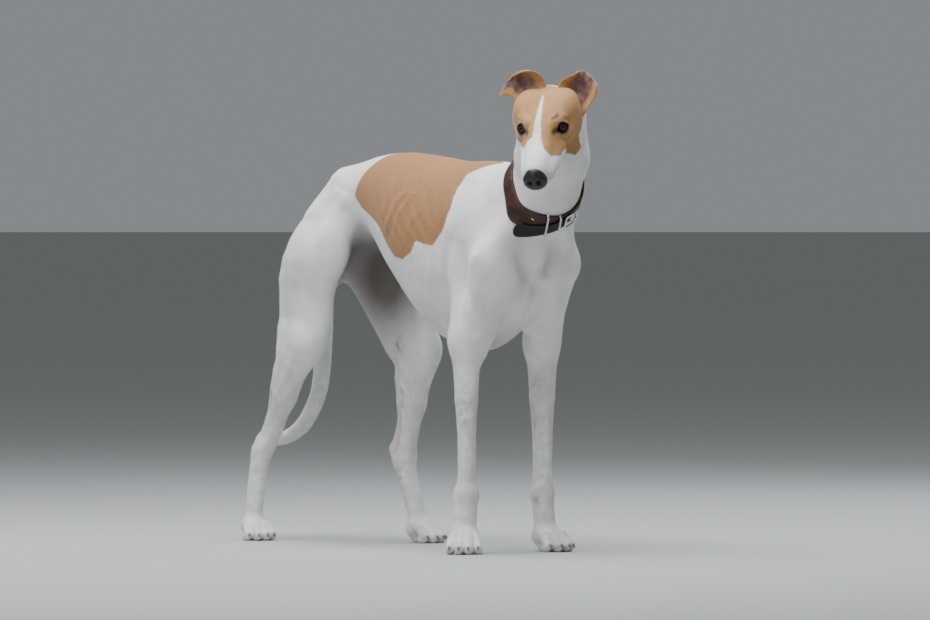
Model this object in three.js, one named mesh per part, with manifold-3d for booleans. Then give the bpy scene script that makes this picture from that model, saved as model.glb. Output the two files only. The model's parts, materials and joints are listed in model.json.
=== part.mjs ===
// A greyhound at life size, standing with its head turned to its right and a leather collar on its neck.
// Millimetres. +X is the way the body faces, +Y its left side, +Z up. It stands on Z = 0.
//
// The flesh is one smooth field: limbs (tapered tubes between two joints), balls (ellipsoids) and a trunk
// of named stations, blended into each other. Each node is a shell of rings, cast from an axis inside the
// body out to the surface of that field, and then cut from its neighbours by planes.
import * as THREE from "three";
import { mergeVertices } from "three/addons/utils/BufferGeometryUtils.js";
import Module from "manifold-3d";

const wasm = await Module();
wasm.setup();

// Driving dimensions
const WITHERS = 690;
const GAP = 0.3; // between nodes that touch
const HIP_HEIGHT = 0.81 * WITHERS;
const HEAD_AT = [468, -67, 757]; // the point midway between the eyeballs
const HEAD_TURN = -44; // degrees, to the right
const HEAD_NOD = 35; // degrees, nose down
const HEAD_ROLL = 2.5; // degrees, left side up
const EYE_RADIUS = 11.5;
const EYE_SPREAD = 33; // from the midline to an eyeball's centre
const EYE_AIM = 27; // degrees that each eye looks outward
const LID_THICKNESS = 2.4;
const MUZZLE_LENGTH = 116; // from the eyes to the seat of the nose
const EAR_THICKNESS = 3.4;
const STRAP_WIDTH = 26;
const STRAP_THICKNESS = 3.4;
const STRAP_CLEARANCE = 1; // between the collar and the neck
const FINENESS = 0.4; // flatter corners than this are dropped

const v = (x, y, z) => new THREE.Vector3(x, y, z);
const UP = v(0, 0, 1);
const LEFTWARD = v(0, 1, 0);
const radians = THREE.MathUtils.degToRad;
const lerp = THREE.MathUtils.lerp;

// Forms of the field. Each has at(x, y, z), the distance to its surface, negative inside, and the
// width of its blend into the forms before it.

function limb(a, b, radiusA, radiusB, blend, wide = 1, side = LEFTWARD) {
  const ax = b.x - a.x;
  const ay = b.y - a.y;
  const az = b.z - a.z;
  const length2 = ax * ax + ay * ay + az * az;
  const squeeze = 1 / (wide * wide) - 1;
  const scale = Math.min(1, wide);
  return {
    blend,
    centre: a.clone().lerp(b, 0.5),
    reach: Math.sqrt(length2) / 2 + Math.max(radiusA, radiusB) * Math.max(1, wide),
    at(x, y, z) {
      let dx = x - a.x;
      let dy = y - a.y;
      let dz = z - a.z;
      const t = Math.min(1, Math.max(0, (dx * ax + dy * ay + dz * az) / length2));
      dx -= ax * t;
      dy -= ay * t;
      dz -= az * t;
      const across = dx * side.x + dy * side.y + dz * side.z;
      const distance = Math.sqrt(dx * dx + dy * dy + dz * dz + across * across * squeeze);
      return (distance - radiusA - (radiusB - radiusA) * t) * scale;
    },
  };
}

function ball(centre, radii, blend, tilt = 0) {
  const c = Math.cos(radians(tilt));
  const s = Math.sin(radians(tilt));
  const [rx, ry, rz] = radii;
  return {
    blend,
    centre,
    reach: Math.max(...radii),
    at(x, y, z) {
      const dx = x - centre.x;
      const dy = y - centre.y;
      const dz = z - centre.z;
      const lx = (dx * c + dz * s) / rx; // tilt lifts the ball's front end
      const ly = dy / ry;
      const lz = (dz * c - dx * s) / rz;
      const q = Math.sqrt(lx * lx + ly * ly + lz * lz);
      const g = Math.sqrt((lx / rx) ** 2 + (ly / ry) ** 2 + (lz / rz) ** 2);
      return g < 1e-9 ? -Math.min(rx, ry, rz) : (q * (q - 1)) / g;
    },
  };
}

// A smooth value through named stations, by cubic steps whose slopes are the mean of their neighbours'.
function curve(stations, key) {
  const xs = stations.map((s) => s.x);
  const ys = stations.map((s) => s[key]);
  const slopes = xs.map((_, i) => {
    const lo = Math.max(0, i - 1);
    const hi = Math.min(xs.length - 1, i + 1);
    return (ys[hi] - ys[lo]) / (xs[hi] - xs[lo]);
  });
  return (x) => {
    if (x <= xs[0]) return ys[0];
    if (x >= xs[xs.length - 1]) return ys[ys.length - 1];
    let i = 0;
    while (x > xs[i + 1]) i++;
    const h = xs[i + 1] - xs[i];
    const t = (x - xs[i]) / h;
    const t2 = t * t;
    const t3 = t2 * t;
    return (
      ys[i] * (2 * t3 - 3 * t2 + 1) +
      slopes[i] * h * (t3 - 2 * t2 + t) +
      ys[i + 1] * (3 * t2 - 2 * t3) +
      slopes[i + 1] * h * (t3 - t2)
    );
  };
}

// The trunk's stations, from rump to forechest: heights of back and belly line, half its width, and
// keel, how much narrower it is at the bottom than at its widest.
const TRUNK = [
  { name: "rump", x: -335, back: 612, belly: 555, half: 34, keel: 0.0 },
  { name: "croup", x: -285, back: 656, belly: 525, half: 56, keel: 0.0 },
  { name: "hips", x: -215, back: 689, belly: 540, half: 70, keel: 0.0 },
  { name: "loin", x: -140, back: 707, belly: 548, half: 68, keel: 0.1 },
  { name: "last rib", x: -60, back: 712, belly: 468, half: 82, keel: 0.25 },
  { name: "ribs", x: 30, back: 706, belly: 392, half: 98, keel: 0.4 },
  { name: "heart", x: 120, back: 697, belly: 364, half: 96, keel: 0.45 },
  { name: "elbows", x: 200, back: 692, belly: 360, half: 84, keel: 0.45 },
  { name: "shoulders", x: 270, back: 668, belly: 385, half: 72, keel: 0.35 },
  { name: "forechest", x: 345, back: 600, belly: 440, half: 40, keel: 0.2 },
];
const ROUNDING = 34; // how far from each end the trunk starts to close

function trunk() {
  const back = curve(TRUNK, "back");
  const belly = curve(TRUNK, "belly");
  const half = curve(TRUNK, "half");
  const keel = curve(TRUNK, "keel");
  const rear = TRUNK[0].x;
  const front = TRUNK[TRUNK.length - 1].x;
  const WIDEST = 0.56; // of the height
  return {
    blend: 0,
    centre: v((rear + front) / 2, 0, 540),
    reach: 420,
    at(x, y, z) {
      const inset = Math.max(rear + ROUNDING - x, x - front + ROUNDING, 0) / ROUNDING;
      const end = Math.sqrt(Math.max(0.02, 1 - inset * inset));
      const beyond = Math.max(rear - x, x - front, 0);
      const top = back(x);
      const bottom = belly(x);
      const middle = lerp(bottom, top, WIDEST);
      const down = z < middle;
      const h = (down ? middle - bottom : top - middle) * end;
      const dz = z - middle;
      const w = half(x) * end * (down ? 1 - keel(x) * Math.min(1, -dz / h) ** 2 : 1);
      const q = Math.sqrt((y / w) ** 2 + (dz / h) ** 2);
      const g = Math.sqrt((y / (w * w)) ** 2 + (dz / (h * h)) ** 2);
      const across = g < 1e-9 ? -Math.min(w, h) : (q * (q - 1)) / g;
      return beyond > 0 ? Math.hypot(Math.max(across, 0), beyond) : across;
    },
  };
}

// Joints. The left and right legs stand differently, so each has its own.

const FORE = {
  right: {
    blade: v(222, -34, 650),
    shoulder: v(308, -72, 505),
    elbow: v(248, -82, 372),
    wrist: v(251, -86, 104),
    knuckle: v(262, -96, 36),
    toeing: -36,
  },
  left: {
    blade: v(222, 34, 650),
    shoulder: v(308, 71, 505),
    elbow: v(242, 84, 372),
    wrist: v(246, 79, 104),
    knuckle: v(256, 80, 36),
    toeing: 4,
  },
};
const HIND = {
  right: {
    hip: v(-244, -70, HIP_HEIGHT),
    knee: v(-288, -100, 366),
    hock: v(-414, -102, 172),
    knuckle: v(-418, -116, 36),
    toeing: -12,
  },
  left: {
    hip: v(-230, 58, HIP_HEIGHT),
    knee: v(-152, 76, 352),
    hock: v(-200, 76, 158),
    knuckle: v(-162, 80, 36),
    toeing: 14,
  },
};

const between = (a, b, t, dx = 0, dy = 0, dz = 0) => a.clone().lerp(b, t).add(v(dx, dy, dz));

function foreForms(side) {
  const { blade, shoulder, elbow, wrist, knuckle, toeing } = FORE[side];
  const out = side === "left" ? 1 : -1;
  const across = LEFTWARD.clone().applyAxisAngle(UP, radians(toeing * 0.6));
  const point = elbow.clone().add(v(-27, 2 * out, 6)); // the tip of the elbow
  const shaft = (t, dx = 0, dy = 0) => between(elbow, wrist, t, dx, dy * out);
  return [
    limb(blade, between(shoulder, blade, 0.1), 24, 34, 34, 0.7), // shoulder blade and its muscles
    limb(between(blade, shoulder, 0.5, -8, 8 * out), shoulder, 22, 28, 24, 0.8),
    ball(shoulder.clone().add(v(4, 6 * out, 6)), [26, 22, 30], 18), // point of the shoulder
    limb(v(366, 38 * out, 610), shoulder.clone().add(v(8, 4 * out, 20)), 20, 25, 24), // neck to shoulder
    limb(shoulder, elbow, 34, 30, 22, 0.85), // upper arm
    limb(between(blade, shoulder, 0.35, -34, 10 * out, -18), between(point, shoulder, 0.06, 0, 2 * out), 34, 19, 30, 0.72),
    limb(between(shoulder, elbow, 0.1, 8, -30 * out, -6), shaft(0.02, 6, -12), 34, 22, 30, 0.8),
    limb(shaft(-0.02, -3), shaft(0.36, -2), 34, 26.5, 14, 0.76, across), // forearm, upper half
    limb(shaft(0.36, -2), shaft(0.66), 26.5, 20, 12, 0.76, across),
    limb(shaft(0.66), shaft(0.96), 20, 19, 10, 0.86, across),
    ball(point, [12, 9, 15], 10),
    ball(wrist.clone().add(v(1, 0, 0)), [20, 21, 23], 10),
    ball(wrist.clone().add(v(-17, 5 * out, -6)), [10, 8, 12], 8), // the wrist's stopper pad
    limb(wrist, knuckle, 18, 18, 10, 1.12, across),
  ];
}

function hindForms(side) {
  const { hip, knee, hock, knuckle, toeing } = HIND[side];
  const out = side === "left" ? 1 : -1;
  const turned = (x, y, z) => v(x, y, z).applyAxisAngle(UP, radians(toeing));
  const across = turned(0, 1, 0);
  const heel = hock.clone().add(turned(-25, 0, 12)); // the point of the hock
  const seat = v(-310, 58 * out, 540); // the seat bone
  const calf = between(knee, hock, 0.3, -20, 0, 0);
  return [
    limb(v(-215, 42 * out, 646), hip, 29, 44, 36, 0.8), // croup muscles
    ball(hip.clone().add(v(-6, 14 * out, -22)), [54, 36, 58], 34),
    limb(hip, knee, 60, 42, 36, 0.62), // thigh
    limb(seat, between(knee, hock, 0.12, -28, 2 * out, 8), 43, 30, 34, 0.7), // hamstrings
    limb(v(-288, 22 * out, 522), between(knee, hock, 0.05, -45, -16 * out, 30), 38, 26, 30, 0.8), // inner thigh
    limb(between(hip, knee, 0.16, 28, -4 * out, 0), knee.clone().add(v(15, 0, 10)), 32, 25, 24, 0.62), // front of the thigh
    ball(knee.clone().add(v(16, 2 * out, 2)), [22, 23, 28], 16),
    limb(knee, between(knee, hock, 0.5), 37, 27, 18, 0.8, across), // second thigh
    limb(calf, between(knee, hock, 0.58, -12), 27, 16, 16, 0.8, across),
    limb(between(knee, hock, 0.5), hock, 23, 18, 12, 0.86, across),
    limb(between(knee, hock, 0.5, -16), heel, 10, 9, 10, 0.8), // the heel cord
    limb(heel, between(heel, hock, 0.5, 0, 0, -16), 11, 15, 9, 0.9),
    ball(hock, [20, 19, 24], 10),
    limb(hock.clone().add(v(-4, 0, -6)), knuckle, 19, 17, 10, 0.92, across),
  ];
}

// A paw in its own frame: the origin on the floor under the knuckles, x forward.
const TOES = [
  { y: -19.5, reach: 40, splay: -5 },
  { y: -7, reach: 50, splay: -1.5 },
  { y: 7, reach: 50, splay: 1.5 },
  { y: 19.5, reach: 40, splay: 5 },
];
const PAW = { fore: 1.0, hind: 0.94 };
const TOE_TIP_HEIGHT = 12;

function pawForms(scale) {
  const forms = [
    ball(v(4, 0, 26).multiplyScalar(scale), [30 * scale, 25 * scale, 22 * scale], 6),
    ball(v(10, 0, 7).multiplyScalar(scale), [20 * scale, 19 * scale, 11 * scale], 6),
  ];
  for (const toe of TOES) {
    const root = v(4, toe.y * 0.72, 34).multiplyScalar(scale);
    const knuckle = v(toe.reach * 0.55, toe.y, 27).multiplyScalar(scale);
    const tip = v(toe.reach, toe.y + toe.splay, TOE_TIP_HEIGHT).multiplyScalar(scale);
    forms.push(limb(root, knuckle, 10.5 * scale, 9.6 * scale, 4));
    forms.push(limb(knuckle, tip, 9.6 * scale, 8.8 * scale, 3));
    forms.push(ball(tip.clone().add(v(-6, 0, -5)), [11 * scale, 8 * scale, 8 * scale], 3));
  }
  return forms;
}

// The head in its own frame: the origin midway between the eyeballs, x along the muzzle, z up.
function headForms() {
  const forms = [
    ball(v(-46, 0, -4), [56, 46, 30], 14), // braincase
    limb(v(-56, 0, 17), v(-92, 0, 10), 8, 7, 22), // crest of the skull
    ball(v(-8, 0, 2), [42, 34, 22], 20), // forehead
    limb(v(4, 0, -20), v(MUZZLE_LENGTH - 10, 0, -24), 34, 20, 14, 1.08), // muzzle
    limb(v(20, 0, -3), v(MUZZLE_LENGTH - 4, 0, -13), 15, 9, 14, 1.2), // bridge of the nose
    limb(v(-36, 0, -50), v(MUZZLE_LENGTH - 24, 0, -51), 22, 11, 10, 1.15), // lower jaw
    ball(v(-80, 0, -26), [38, 46, 38], 26),
  ];
  for (const out of [1, -1]) {
    forms.push(
      ball(v(-44, 37 * out, -24), [36, 23, 34], 16), // cheek
      limb(v(2, 40 * out, -16), v(-44, 50 * out, -8), 8, 10, 14), // cheekbone
      ball(v(-52, 32 * out, 10), [40, 25, 24], 16), // temple
      limb(v(8, 23 * out, 13), v(-10, 36 * out, 14), 7, 6, 9), // brow
      ball(v(0, (EYE_SPREAD - 0.6) * out, 0), [1, 1, 1].map((r) => r * (EYE_RADIUS + LID_THICKNESS)), 4),
      limb(v(26, 24 * out, -32), v(MUZZLE_LENGTH - 16, 14.5 * out, -32), 16, 14.5, 9), // upper lip
    );
  }
  return forms;
}

function noseForms() {
  return [
    ball(v(MUZZLE_LENGTH + 5, 0, -28), [14, 21, 16.5], 0),
    ball(v(MUZZLE_LENGTH - 3, 0, -17), [14, 17, 9], 8),
  ];
}

const TAIL = [
  { at: v(-322, 0, 606), radius: 21 },
  { at: v(-350, 0, 552), radius: 18.5 },
  { at: v(-358, 0, 470), radius: 17 },
  { at: v(-358, 0, 400), radius: 16 },
  { at: v(-364, 0, 322), radius: 15.5 },
  { at: v(-378, -1, 265), radius: 14.5 },
  { at: v(-420, -3, 214), radius: 14 },
  { at: v(-466, -4, 190), radius: 12.5 },
  { at: v(-512, -6, 180), radius: 10.5 },
  { at: v(-556, -8, 184), radius: 6 },
];

const NECK = [
  { at: v(228, 0, 580), radius: 94, wide: 0.8 },
  { at: v(306, -1, 612), radius: 84, wide: 0.8 },
  { at: v(375, 1, 652), radius: 67, wide: 0.76 },
  { at: v(403, -4, 708), radius: 67, wide: 1.02 },
  { at: v(400, 4, 764), radius: 55, wide: 1.0 },
];

const chain = (points, blend) =>
  points
    .slice(1)
    .map((p, i) => limb(points[i].at, p.at, points[i].radius, p.radius, blend, ((points[i].wide ?? 1) + (p.wide ?? 1)) / 2));

// Frames, each a turn and a place, for the head and the four paws.

const headTurn = new THREE.Quaternion()
  .setFromAxisAngle(UP, radians(HEAD_TURN))
  .multiply(new THREE.Quaternion().setFromAxisAngle(LEFTWARD, radians(HEAD_NOD)))
  .multiply(new THREE.Quaternion().setFromAxisAngle(v(1, 0, 0), radians(HEAD_ROLL)));
const headFrame = new THREE.Matrix4().compose(v(...HEAD_AT), headTurn, v(1, 1, 1));

function pawFrame(knuckle, toeing) {
  const turn = new THREE.Quaternion().setFromAxisAngle(UP, radians(toeing));
  return new THREE.Matrix4().compose(v(knuckle.x, knuckle.y, 0), turn, v(1, 1, 1));
}

// A group of forms in one frame, blended among themselves and then into the whole.
function group(forms, blend, frame = new THREE.Matrix4()) {
  const inverse = frame.clone().invert().elements;
  const bounds = new THREE.Sphere();
  const box = new THREE.Box3();
  for (const f of forms) {
    const c = f.centre.clone().applyMatrix4(frame);
    box.union(new THREE.Box3(c.clone().subScalar(f.reach), c.clone().addScalar(f.reach)));
  }
  box.getBoundingSphere(bounds);
  const e = inverse;
  return {
    blend,
    centre: bounds.center,
    reach: bounds.radius,
    at(x, y, z) {
      const lx = e[0] * x + e[4] * y + e[8] * z + e[12];
      const ly = e[1] * x + e[5] * y + e[9] * z + e[13];
      const lz = e[2] * x + e[6] * y + e[10] * z + e[14];
      return blended(forms, lx, ly, lz);
    },
  };
}

const FAR = 1e6;
const SKIP = 40; // a form this much further than the nearest has no say

function blended(forms, x, y, z) {
  let d = FAR;
  for (const f of forms) {
    const away = Math.hypot(x - f.centre.x, y - f.centre.y, z - f.centre.z) - f.reach;
    if (away > d + f.blend || away > Math.max(SKIP, d)) {
      if (d < FAR) continue;
    }
    const e = f.at(x, y, z);
    if (d === FAR) {
      d = e;
      continue;
    }
    const h = Math.max(f.blend - Math.abs(d - e), 0);
    d = Math.min(d, e) - (f.blend > 0 ? (h * h) / (4 * f.blend) : 0);
  }
  return d;
}

const pawFrames = {};
const flesh = group(
  [
    trunk(),
    group(chain(NECK, 8), 44),
    group(foreForms("right"), 30),
    group(foreForms("left"), 30),
    group(hindForms("right"), 34),
    group(hindForms("left"), 34),
    group(chain(TAIL, 2), 14),
    group(headForms(), 26, headFrame),
    ...["right", "left"].flatMap((side) => {
      pawFrames["fore_" + side] = pawFrame(FORE[side].knuckle, FORE[side].toeing);
      pawFrames["hind_" + side] = pawFrame(HIND[side].knuckle, HIND[side].toeing);
      return [
        group(pawForms(PAW.fore), 10, pawFrames["fore_" + side]),
        group(pawForms(PAW.hind), 10, pawFrames["hind_" + side]),
      ];
    }),
  ],
  0,
);

// Solids

function solid(geometry) {
  const bare = geometry.clone();
  for (const name of ["normal", "uv"]) bare.deleteAttribute(name);
  const merged = mergeVertices(bare, 1e-3);
  return new wasm.Manifold(
    new wasm.Mesh({
      numProp: 3,
      vertProperties: new Float32Array(merged.attributes.position.array),
      triVerts: new Uint32Array(merged.index.array),
    }),
  );
}

function largest(made) {
  const pieces = made.decompose();
  return pieces.reduce((a, b) => (b.volume() > a.volume() ? b : a));
}

function geometryOf(made) {
  const mesh = made.getMesh();
  const g = new THREE.BufferGeometry();
  const position = new Float32Array(mesh.numVert * 3);
  for (let i = 0; i < mesh.numVert; i++) {
    position.set(mesh.vertProperties.subarray(i * mesh.numProp, i * mesh.numProp + 3), i * 3);
  }
  g.setAttribute("position", new THREE.BufferAttribute(position, 3));
  g.setIndex(new THREE.BufferAttribute(new Uint32Array(mesh.triVerts), 1));
  g.computeVertexNormals();
  return g;
}

const WORLD = 3000;
const block = () => solid(new THREE.BoxGeometry(WORLD, WORLD, WORLD));
const plane = (at, normal) => ({ at, normal: normal.clone().normalize() });

// How far out along a ray the surface lies, from a point inside it.
function hit(field, from, way, limit) {
  let near = 0;
  let far = 0;
  for (let step = 0; step < 200 && far < limit; step++) {
    const d = field(from.x + way.x * far, from.y + way.y * far, from.z + way.z * far);
    if (d > 0) break;
    near = far;
    far += Math.max(0.6, -d * 0.7);
  }
  for (let i = 0; i < 14; i++) {
    const mid = (near + far) / 2;
    if (field(from.x + way.x * mid, from.y + way.y * mid, from.z + way.z * mid) > 0) far = mid;
    else near = mid;
  }
  return (near + far) / 2;
}

// A closed shell round an axis. Rings of rays stand square to the axis, and fans of them close its ends.
function cast(form, points, { rings, sides, fans = 4, inside = () => -FAR, spare = 0, limit = 400, up = UP }) {
  const field = (x, y, z) => Math.max(form.at(x, y, z) - spare, inside(x, y, z));
  const axis = new THREE.CatmullRomCurve3(points, false, "centripetal");
  const rows = [];
  const row = (centre, way, lift) => {
    const a = new THREE.Vector3().crossVectors(up, way).normalize();
    const b = new THREE.Vector3().crossVectors(way, a);
    const points = [];
    for (let j = 0; j < sides; j++) {
      const turn = (2 * Math.PI * j) / sides;
      const ray = a
        .clone()
        .multiplyScalar(Math.cos(turn) * Math.cos(lift))
        .addScaledVector(b, Math.sin(turn) * Math.cos(lift))
        .addScaledVector(way, Math.sin(lift));
      points.push(centre.clone().addScaledVector(ray, hit(field, centre, ray, limit)));
    }
    rows.push(points);
  };
  const ends = [0, 1].map((t) => ({ at: axis.getPointAt(t), way: axis.getTangentAt(t) }));
  const pole = ({ at, way }, sign) => {
    const ray = way.clone().multiplyScalar(sign);
    return at.clone().addScaledVector(ray, hit(field, at, ray, limit));
  };
  for (let i = fans; i > 0; i--) row(ends[0].at, ends[0].way, -(i * Math.PI) / 2 / (fans + 1));
  for (let i = 0; i <= rings; i++) row(axis.getPointAt(i / rings), axis.getTangentAt(i / rings), 0);
  for (let i = 1; i <= fans; i++) row(ends[1].at, ends[1].way, (i * Math.PI) / 2 / (fans + 1));
  const vertices = [pole(ends[0], -1), ...rows.flat(), pole(ends[1], 1)];
  const index = [];
  const at = (r, j) => 1 + r * sides + (j % sides);
  const last = vertices.length - 1;
  for (let j = 0; j < sides; j++) {
    index.push(0, at(0, j + 1), at(0, j));
    for (let r = 0; r + 1 < rows.length; r++) {
      index.push(at(r, j), at(r, j + 1), at(r + 1, j + 1), at(r, j), at(r + 1, j + 1), at(r + 1, j));
    }
    index.push(last, at(rows.length - 1, j), at(rows.length - 1, j + 1));
  }
  const g = new THREE.BufferGeometry();
  g.setAttribute("position", new THREE.Float32BufferAttribute(vertices.flatMap((p) => [p.x, p.y, p.z]), 3));
  g.setIndex(index);
  return solid(g);
}

// A closed surface from a grid of cells: one corner in each cell that the surface passes through, settled
// onto it, and a face across each edge of the grid that it cuts.
function net(field, low, high, cell) {
  const n = low.map((lo, k) => Math.ceil((high[k] - lo) / cell) + 1);
  const id = (i, j, k) => (k * n[1] + j) * n[0] + i;
  const values = new Float64Array(n[0] * n[1] * n[2]);
  const place = (i, j, k) => [low[0] + i * cell, low[1] + j * cell, low[2] + k * cell];
  for (let k = 0; k < n[2]; k++) {
    for (let j = 0; j < n[1]; j++) for (let i = 0; i < n[0]; i++) values[id(i, j, k)] = field(...place(i, j, k));
  }
  const vertices = [];
  const cornerOf = new Map();
  for (let k = 0; k + 1 < n[2]; k++) {
    for (let j = 0; j + 1 < n[1]; j++) {
      for (let i = 0; i + 1 < n[0]; i++) {
        const sum = [0, 0, 0];
        let crossings = 0;
        for (let axis = 0; axis < 3; axis++) {
          for (let c = 0; c < 4; c++) {
            const a = [i, j, k];
            a[(axis + 1) % 3] += c & 1;
            a[(axis + 2) % 3] += c >> 1;
            const b = [...a];
            b[axis]++;
            const va = values[id(...a)];
            const vb = values[id(...b)];
            if (va < 0 === vb < 0) continue;
            const p = place(...a);
            p[axis] += (cell * va) / (va - vb);
            for (let m = 0; m < 3; m++) sum[m] += p[m];
            crossings++;
          }
        }
        if (!crossings) continue;
        const p = v(sum[0] / crossings, sum[1] / crossings, sum[2] / crossings);
        const start = p.clone();
        for (let step = 0; step < 3; step++) {
          const d = field(p.x, p.y, p.z);
          const g = v(
            field(p.x + 1, p.y, p.z) - d,
            field(p.x, p.y + 1, p.z) - d,
            field(p.x, p.y, p.z + 1) - d,
          );
          p.addScaledVector(g, -d / Math.max(0.25, g.lengthSq()));
        }
        if (p.distanceTo(start) > cell * 0.7) p.copy(start);
        cornerOf.set(id(i, j, k), vertices.push(p) - 1);
      }
    }
  }
  const index = [];
  for (let k = 1; k + 1 < n[2]; k++) {
    for (let j = 1; j + 1 < n[1]; j++) {
      for (let i = 1; i + 1 < n[0]; i++) {
        const here = values[id(i, j, k)] < 0;
        for (let axis = 0; axis < 3; axis++) {
          const b = [i, j, k];
          b[axis]++;
          if (values[id(...b)] < 0 === here) continue;
          const ring = [[0, 0], [1, 0], [1, 1], [0, 1]].map(([p, q]) => {
            const c = [i, j, k];
            c[(axis + 1) % 3] -= p;
            c[(axis + 2) % 3] -= q;
            return cornerOf.get(id(...c));
          });
          if (!here) ring.reverse();
          index.push(ring[0], ring[1], ring[2], ring[0], ring[2], ring[3]);
        }
      }
    }
  }
  const g = new THREE.BufferGeometry();
  g.setAttribute("position", new THREE.Float32BufferAttribute(vertices.flatMap((p) => [p.x, p.y, p.z]), 3));
  g.setIndex(index);
  return solid(g);
}

// Where the line from a point inside a form out through another point leaves the form.
function settled(form, toward, from) {
  const way = toward.clone().sub(from).normalize();
  return from.clone().addScaledVector(way, hit((x, y, z) => form.at(x, y, z), from, way, 200));
}

const turned = (geometry) => {
  const index = Array.from(geometry.index.array);
  for (let i = 0; i < index.length; i += 3) [index[i + 1], index[i + 2]] = [index[i + 2], index[i + 1]];
  return geometry.clone().setIndex(index);
};

// A skin over rows of points, each row a loop. It closes on its first row, or is capped at both ends.
function loft(rows, closed) {
  const sides = rows[0].length;
  const vertices = rows.flat();
  const index = [];
  const at = (r, j) => (r % rows.length) * sides + (j % sides);
  for (let r = 0; r < rows.length - (closed ? 0 : 1); r++) {
    for (let j = 0; j < sides; j++) {
      index.push(at(r, j), at(r, j + 1), at(r + 1, j + 1), at(r, j), at(r + 1, j + 1), at(r + 1, j));
    }
  }
  if (!closed) {
    for (let j = 1; j + 1 < sides; j++) {
      index.push(at(0, 0), at(0, j + 1), at(0, j));
      index.push(at(rows.length - 1, 0), at(rows.length - 1, j), at(rows.length - 1, j + 1));
    }
  }
  const g = new THREE.BufferGeometry();
  g.setAttribute("position", new THREE.Float32BufferAttribute(vertices.flatMap((p) => [p.x, p.y, p.z]), 3));
  g.setIndex(index);
  const made = solid(g);
  return made.volume() < 0 ? solid(turned(g)) : made;
}

function circles(points, radii, sides, closed) {
  let normal = null;
  return points.map((p, i) => {
    const n = points.length;
    const before = points[closed ? (i + n - 1) % n : Math.max(0, i - 1)];
    const after = points[closed ? (i + 1) % n : Math.min(n - 1, i + 1)];
    const way = after.clone().sub(before).normalize();
    normal ??= new THREE.Vector3().crossVectors(way, Math.abs(way.z) > 0.8 ? LEFTWARD : UP);
    normal.addScaledVector(way, -normal.dot(way)).normalize();
    const other = new THREE.Vector3().crossVectors(way, normal);
    return Array.from({ length: sides }, (_, j) => {
      const turn = (2 * Math.PI * j) / sides;
      return p.clone().addScaledVector(normal, Math.cos(turn) * radii[i]).addScaledVector(other, Math.sin(turn) * radii[i]);
    });
  });
}
const tube = (points, radii, sides) => loft(circles(points, radii, sides, false), false);
const ringTube = (points, radius, sides) => loft(circles(points, points.map(() => radius), sides, true), true);

// Cuts between the nodes. A cut is a list of planes whose normals all point out of the piece it bounds.

const toHead = (x, y, z) => v(x, y, z).applyMatrix4(headFrame);
const headWay = (x, y, z) => v(x, y, z).transformDirection(headFrame);
const NECK_CUT = plane(v(312, 0, 612), v(0.82, 0, 0.57));
const flipped = (p) => plane(p.at, p.normal.clone().negate());
// The head sits on the neck along two planes: under the jaw, and behind the left cheek.
const HEAD_SEAT = [
  plane(toHead(-60, 0, -67), headWay(-0.05, 0, -1)),
  plane(toHead(20, 22, -64), headWay(-0.11, 0.42, -0.88)),
];
const FLOOR = plane(v(0, 0, 0), v(0, 0, -1));
const level = (z) => plane(v(0, 0, z), UP);

const bounded = (cuts, slack = 26) => (x, y, z) =>
  Math.max(
    ...cuts.map(({ at, normal: n }) => (x - at.x) * n.x + (y - at.y) * n.y + (z - at.z) * n.z - slack),
  );
const trim = (made, cuts, shift = -GAP / 2) =>
  cuts.reduce(
    (m, { at, normal: n }) => m.trimByPlane([-n.x, -n.y, -n.z], -n.dot(at) - shift),
    made,
  );

const tailCuts = [
  plane(v(-330, 0, 0), v(1, 0, 0)),
  plane(v(-345, 0, 610), v(0.45, 0, 0.89)),
  plane(v(0, 23, 0), v(0, 1, 0)),
  plane(v(0, -23, 0), v(0, -1, 0)),
];
const PAW_CUT = 78;
const legCuts = {};
for (const side of ["right", "left"]) {
  const out = side === "left" ? 1 : -1;
  const { elbow } = FORE[side];
  legCuts["fore_" + side] = [
    plane(v(elbow.x, 60 * out, 352), v(0.1, -0.35 * out, 0.93)),
    plane(v(120, 0, 0), v(-1, 0, 0)),
    plane(v(0, 20 * out, 0), v(0, -out, 0)),
  ];
  legCuts["hind_" + side] = [
    plane(v(-240, 60 * out, 505), v(0.12, -0.5 * out, 0.86)),
    plane(v(-60, 0, 0), v(1, 0, 0)),
    plane(v(0, 8 * out, 0), v(0, -out, 0)),
  ];
}

const coat = new THREE.MeshStandardMaterial({ color: 0xe9e7e2, roughness: 0.8 });
const tan = new THREE.MeshStandardMaterial({ color: 0xb98c63, roughness: 0.8 });
const noseLeather = new THREE.MeshStandardMaterial({ color: 0x24232a, roughness: 0.45 });
const eyeGloss = new THREE.MeshStandardMaterial({ color: 0x150d0a, roughness: 0.1 });
const strapLeather = new THREE.MeshStandardMaterial({ color: 0x3d2720, roughness: 0.5 });
const steel = new THREE.MeshStandardMaterial({ color: 0xc9cbce, roughness: 0.25, metalness: 1 });

const dog = new THREE.Group();

function node(name, made, material) {
  const mesh = new THREE.Mesh(geometryOf(largest(made.simplify(FINENESS))), material);
  mesh.name = name;
  dog.add(mesh);
}

// Torso

const CELL = 22;
const NECK_CELL = 16;
const TORSO_BOX = { low: [-400, -180, 302], high: [440, 180, 742] };
const torsoLimits = bounded([NECK_CUT, plane(v(0, 0, TORSO_BOX.low[2] + 60), v(0, 0, -1))], 30);
const torso = net(
  (x, y, z) => Math.max(flesh.at(x, y, z), torsoLimits(x, y, z)),
  TORSO_BOX.low,
  TORSO_BOX.high,
  CELL,
);
let trunkPiece = trim(torso, [NECK_CUT]);
for (const cuts of [tailCuts, ...Object.values(legCuts)]) {
  trunkPiece = trunkPiece.subtract(trim(block(), cuts, GAP / 2));
}
node("torso", trunkPiece, coat);

// Neck, tail and legs

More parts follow.
